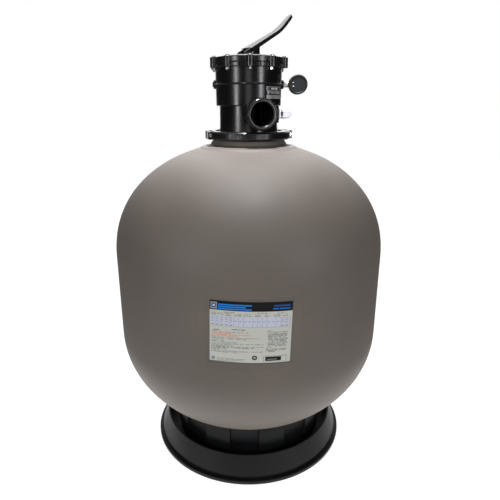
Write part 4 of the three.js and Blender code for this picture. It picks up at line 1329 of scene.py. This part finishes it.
def lever_shells():
    cheeks = [extruded(cam_outline(), low, low + 6) for low in (-14, 8)]
    crown = extruded([(-13.6, 5.4), (12, 5.4), (24, top_line(24) - 4.4), (24, top_line(24) - 1.2),
                      (8, top_line(8) - 1.2), (-4, top_line(-4) - 0.8), (-13, 6.6)], -8.4, 8.4, 0.4)
    brow = extruded([(13, -2.5), (19.6, 0.6), (20.6, 4.0), (24, top_line(24) - 4), (13, 9)],
                    -8.4, 8.4, 0.5)
    return [lever_arm(), *cheeks, crown, brow]


LEVER_PLACE = (0, 0, PIN_Z)
piece_of("lever_channel", [moved(shell, turn_about("Z", LEVER_TURN), LEVER_PLACE)
                           for shell in lever_shells()],
         "lever", VALVE_PLASTIC, ["lever"], 28)
pin = turned(filleted([(0, -14.5), (1.4, -14.5), (2.2, -13.8, 0.3), (2.2, 13.8, 0.3), (1.4, 14.5),
                       (0, 14.5)]), 24)
pin_turn = turn_about("Z", LEVER_TURN) @ turn_about("X", 90)
piece_of("pivot_pin", [moved(pin, pin_turn, LEVER_PLACE)], "stem", STEEL, ["lever_pin"])
piece_of("cam_washer", [ring_shell(9, 24, 922.3, WASHER_TOP, 0.5, 96)], "turntable",
         PIPE_PLASTIC, ["wear_washer"])

# %% [markdown]
# ## Gauge
# The gauge screws into a boss on the valve's side and faces the rear, so the front shows its back:
# a moulded case with two small screws. Its dial has ticks and plain numbers, printed as ink on a
# polar grid, under a lens. Tape shows on the thread of its brass stem.

# %% Gauge case, dial and lens
GAUGE_LOW, GAUGE_HIGH = box_mm("gauge_case")
GAUGE_X = (GAUGE_LOW[0] + GAUGE_HIGH[0]) / 2
GAUGE_R = (GAUGE_HIGH[0] - GAUGE_LOW[0]) / 2


def on_gauge(shell):
    """A shell turned about Z, laid so that its axis runs along the gauge's, towards +Y."""
    return moved(shell, turn_about("X", -90), (GAUGE_X, 0, RIB_Z))


case = filleted([
    (0, -8.6), (16.6, -8.6, 0.6), (17.6, -10, 0.8), (19.4, -10, 1.6), (GAUGE_R, -8, 1.6),
    (GAUGE_R, 8.6, 0.5), (GAUGE_R - 0.5, 9, 0.3), (GAUGE_R, 9.4, 0.5), (GAUGE_R, 13.2, 0.8),
    (19.6, 14, 0.6), (18.95, 13.2, 0.3), (18.95, -6.4, 1), (0, -6.4)], steps=4)
piece_of("gauge_shell", [on_gauge(turned(case, 96))], "filter", GAUGE_PLASTIC,
         ["gauge_case"])
lens = filleted([(0, 12), (18.7, 12, 0.3), (18.7, 13, 0.3), (17.4, 13.45, 0.6), (0, 13.6)], steps=4)
piece_of("gauge_window", [on_gauge(turned(lens, 96))], "filter", CLEAR, ["gauge_lens"])


def dial_plate():
    """A disc whose ink is worked out in polar form: a scale arc, long and short ticks over 270
    degrees, and a blue band for the clean range."""
    degrees = np.linspace(0, 360, 720, endpoint=False)
    radii = np.concatenate([[0.01], np.linspace(2, 18.6, 56), [18.6, 0.01]])
    height = np.concatenate([np.full(57, 8.8), [8.0, 8.0]])
    points = turned_points(radii, height, np.radians(degrees))
    colour = np.empty(points.shape)
    colour[:] = INK["white"]
    radius = np.repeat(radii[:, None], len(degrees), 1)
    around = (degrees + 135) % 360
    scale = around <= 270.6
    long_tick = np.abs((around + 22.5) % 45 - 22.5) < 1.1
    short_tick = np.abs((around + 4.5) % 9 - 4.5) < 0.7
    colour[scale & long_tick & (radius > 13.4) & (radius < 17.4)] = INK["black"]
    colour[scale & short_tick & (radius > 15.4) & (radius < 17.4)] = INK["black"]
    colour[scale & (np.abs(radius - 17.5) < 0.2)] = INK["black"]
    band = (around > 54) & (around < 126) & (radius > 12.2) & (radius < 13.0)
    colour[band] = INK["blue"]
    points, faces = facing_out(grid_shell(points))
    place = turn_about("X", -90)
    mesh = bpy.data.meshes.new("gauge_face")
    mesh.from_pydata(((points @ place.T + [GAUGE_X, 0, RIB_Z]) * MM).tolist(), [], faces.tolist())
    store_ink(mesh, colour.reshape(-1, 3))
    mesh.shade_smooth()
    mesh.set_sharp_from_angle(angle=math.radians(34))
    return placed("gauge_face", mesh, "filter", DIAL_PRINT, ["gauge_dial"])


dial_plate()


# %% Dial numbers and pointer
READINGS = [str(10 * i) for i in range(7)]
reading_places = []
for i in range(len(READINGS)):
    turn = 225 - 45 * i
    toward = np.array([math.cos(math.radians(turn)), 0, math.sin(math.radians(turn))])
    upright = turn_about("Z", 180) @ turn_about("X", 90)
    reading_places.append((upright, np.array([GAUGE_X, 9.0, RIB_Z]) + 10.4 * toward * [-1, 1, 1]))
number_ring("dial_numbers", READINGS, 3.6, 0.12, reading_places, "filter", RUBBER)
REST_TURN = 45.0
needle_outline = [(-0.9, 4.2), (-0.9, -2), (-0.55, -10), (0, -15.3), (0.55, -10), (0.9, -2), (0.9, 4.2)]
needle = moved(extruded(needle_outline, 10.2, 10.9, 0.15), turn_about("Y", -REST_TURN),
               (GAUGE_X, 0, RIB_Z))
hub = on_gauge(turned(filleted([(0, 9.2), (1.8, 9.2, 0.2), (1.8, 11.2, 0.5), (0, 11.4)]), 32))
piece_of("gauge_needle", [needle, hub], "gauge_pointer", RUBBER, ["gauge_pointer"])


# %% Gauge stem, tape, plug and case screws
def threaded(inner, outer, start, end, pitch, turns_round=40):
    """A threaded stem: a helix, its radius swinging between inner and outer once per pitch along
    the stem and once per turn round it. Each end closes on the axis."""
    along = np.linspace(start, end, int((end - start) / pitch * 8))
    angle = azimuths(turns_round)
    phase = (along[:, None] / pitch - angle / (2 * np.pi)) % 1
    radius = inner + (outer - inner) * (1 - np.abs(2 * phase - 1))
    radius = np.vstack([0 * angle, radius, 0 * angle])
    height = np.concatenate([[start], along, [end]])
    return grid_shell(turned_points(radius, height, angle))


stem = threaded(4.6, 5.2, 68, 82.4, 1.0)
collar = turned(filleted([(0, 81.6), (5.3, 81.6, 0.3), (5.3, 85.6), (6.2, 86, 0.3),
                          (6.2, 86.9, 0.3), (5.4, 87.3, 0.2), (0, 87.3)]), 40)
piece_of("gauge_stem", [laid(stem, 90, RIB_Z), laid(collar, 90, RIB_Z)], "filter", BRASS,
         ["gauge_nipple"])
tape_along = np.linspace(77.2, 85.6, 40)
tape_angle = azimuths(48)
tape_radius = 6.1 + 0.16 * np.sin(tape_along[:, None] * 5.2 + 2 * tape_angle) \
    + 0.1 * np.sin(3 * tape_angle + tape_along[:, None])
tape_radius = np.vstack([5.0 + 0 * tape_angle, tape_radius, 5.0 + 0 * tape_angle])
tape_height = np.concatenate([[77.2], tape_along, [85.6]])
tape_points = turned_points(tape_radius, tape_height, tape_angle)
tape = grid_shell(tape_points, wrap_rows=True)
piece_of("thread_tape", [laid(tape, 90, RIB_Z)], "filter", TAPE)
plug = turned(filleted([(0, 68), (5.2, 68), (5.2, 77.2), (5.8, 77.2, 0.3), (5.8, 79.0, 0.5),
                        (3.0, 79.5, 0.3), (2.4, 78.4, 0.2), (0, 78.4)]), 40)
piece_of("port_plug", [laid(plug, -90, RIB_Z)], "filter", VALVE_PLASTIC,
         ["gauge_port_plug"])
for name, up in (("upper", 4.0), ("lower", -4.0)):
    screw = turned(filleted([(0, -11.3), (0.7, -11.35, 0.2), (1.6, -11.0, 0.3), (1.7, -10.2, 0.1),
                             (0, -10.2)]), 24)
    spot = moved(screw, turn_about("X", -90), (GAUGE_X - 11, 0, RIB_Z + up))
    piece_of(f"case_screw_{name}", [spot], "filter", STEEL, [f"gauge_case_screw_{name}"])

# %% [markdown]
# ## Sight glass
# A clear thimble screwed into the block beside the front port shows whether the waste water runs
# clean. It is a thick-walled tube with a round end, so it is turned with both its walls.

# %% Sight glass
def thimble():
    """Outer and inner walls of a tube that ends in a rounded cap, from the open end and back."""
    quarter = np.linspace(0, np.pi / 2, 14)
    outer, inner, tip = 9.35, 7.3, 95.7
    cap_out = np.stack([outer * np.cos(quarter) ** 0.8, tip - 7.5 + 7.5 * np.sin(quarter)], -1)
    cap_in = np.stack([inner * np.cos(quarter) ** 0.8, tip - 7.5 + 5.2 * np.sin(quarter)], -1)
    cap_out[-1, 0] = cap_in[-1, 0] = 0
    foot = [(inner, 62.5), (outer - 0.3, 62.4), (outer, 62.8), (outer, 70), (outer + 0.25, 70.4),
            (outer + 0.25, 72.4), (outer, 72.8)]
    return np.vstack([cap_in[::-1], foot, cap_out])


piece_of("sight_thimble", [laid(turned(thimble(), 72), 90, SIGHT_Z)], "filter", CLEAR,
         ["sight_glass"])
piece_of("thimble_seal", [laid(ring_shell(6.3, 9.2, 60.3, 62, 0.4), 90, SIGHT_Z)], "filter",
         RUBBER, ["sight_glass_gasket"])

# %% [markdown]
# ## Valve labels
# Two small black labels with pale print sit on the bowl over the front port. They use the same
# curved sheet and ink as the big one, with bars and dashes in place of words.

# %% Valve labels
def print_valve_label(across, down):
    sheet = Print(across, down, "black")
    for left, right, top, bottom in ((0.0, 1.0, 0.0, 0.03), (0.0, 1.0, 0.33, 0.36),
                                     (0.0, 0.015, 0.0, 0.36), (0.985, 1.0, 0.0, 0.36)):
        sheet.block(left, right, top, bottom, "white")
    sheet.text(0.25, 0.8, 0.10, 0.14, "white", 1.0, 0.05)
    for row in (0.41, 0.47, 0.53):
        sheet.text(0.03, 0.97, row, 0.035, "white", 0.8, 0.03)
    sheet.block(0.0, 1.0, 0.68, 0.98, "frame")
    for row in np.arange(0.71, 0.95, 0.06):
        sheet.text(0.04, 0.96, row, 0.026, "black", 0.8, 0.028)
    for x in (0.1, 0.9):
        sheet.disc(x, 0.18, 0.045, "frame", 1.9)
        sheet.disc(x, 0.18, 0.03, "black", 1.9)
    return sheet.colour


curved_label("valve_print", print_valve_label, (49, 849.8), (46, 24.2), 73.55, 0.0, 0.3,
             ["valve_label"])

# %% [markdown]
# ## Drain
# The drain is low on the rear: a flanged spout with a gasket, closed by a ribbed cap that is
# unscrewed to let the water out. The cap's ribs are a wave in its radius.

# %% Drain
def drain_cap():
    """A closed cap whose skirt has 24 grip ribs, r = R - d (1 + cos 24a) / 2 to a power."""
    degrees = np.linspace(0, 360, 288, endpoint=False)
    ribs = 0.9 * (0.5 + 0.5 * np.cos(np.radians(degrees * 24))) ** 3
    face, top = 263.9, 282.6
    rows = [(0, top - 1.2, 0), (9, top - 1.2, 0), (10.5, top, 0), (16.6, top, 0), (18.2, top - 0.5, 0),
            (19, top - 1.8, 0), (19, top - 2.6, 1), (19, face + 2.4, 1), (19, face + 1.6, 0),
            (19, face + 0.3, 0), (18.6, face, 0), (12.4, face, 0), (12.4, 277.9, 0), (0, 277.9, 0)]
    radius = np.array([r - grip * ribs for r, _, grip in rows])
    height = np.array([z for _, z, _ in rows])[:, None] + 0 * radius
    return grid_shell(turned_points(radius, height, np.radians(degrees)))


piece_of("drain_closure", [laid(drain_cap(), 180, DRAIN_Z)], "drain_cap",
         BASE_PLASTIC, ["drain_cap"])
spout = turned(filleted([
    (8, 214, 0.4), (13.6, 214, 0.4), (13.6, 259.6), (18.9, 259.6, 0.5), (18.9, 263.5, 0.8),
    (12, 263.5, 0.3), (12, 277.5, 0.6), (8, 277.5, 0.5)], closed=True), 64, closed=True)
piece_of("drain_spout", [laid(spout, 180, DRAIN_Z)], "filter", BASE_PLASTIC,
         ["drain_spud"])
piece_of("drain_seal", [laid(ring_shell(14, 18.5, 257.3, 259.3, 0.4), 180, DRAIN_Z)], "filter",
         RUBBER, ["drain_gasket"])


# %% Seals
def seal_ring(name, radius, section, height, node, body="filter"):
    """A ring of round section: a small circle carried round a big one."""
    around = azimuths(20)
    profile = np.stack([radius + section * np.cos(around), height + section * np.sin(around)], -1)
    piece_of(name, [turned(profile, 120, closed=True)], body, RUBBER, [node])


seal_ring("neck_seal", 64, 1.3, 760, "flange_oring")
seal_ring("cover_seal", 70.1, 1.35, 909.4, "cover_oring")
seal_ring("stem_seal", 9.4, 1.15, 906.5, "stem_oring")

# %% [markdown]
# ## Parts inside
# The diverter, its spring and gasket, the stem and the pipes in the tank can't be seen from
# outside. Their shapes are right as they are, so they keep them and take moulded finishes.

# %% Inner finishes
INNER_FINISH = {
    "spider_gasket": RUBBER, "diverter": INNER_PLASTIC, "diverter_spring": STEEL,
    "key_stem": INNER_PLASTIC, "standpipe": PIPE_PLASTIC, "top_diffuser": INNER_PLASTIC,
    "lateral_hub": INNER_PLASTIC,
}
for number in range(1, 9):
    INNER_FINISH[f"lateral_{number}"] = PIPE_PLASTIC
for node, material in INNER_FINISH.items():
    NODES[node].data.materials.clear()
    NODES[node].data.materials.append(material)
left = sorted(n for n, o in NODES.items() if not o.hide_render and n not in INNER_FINISH)
print("nodes without a finish", left)
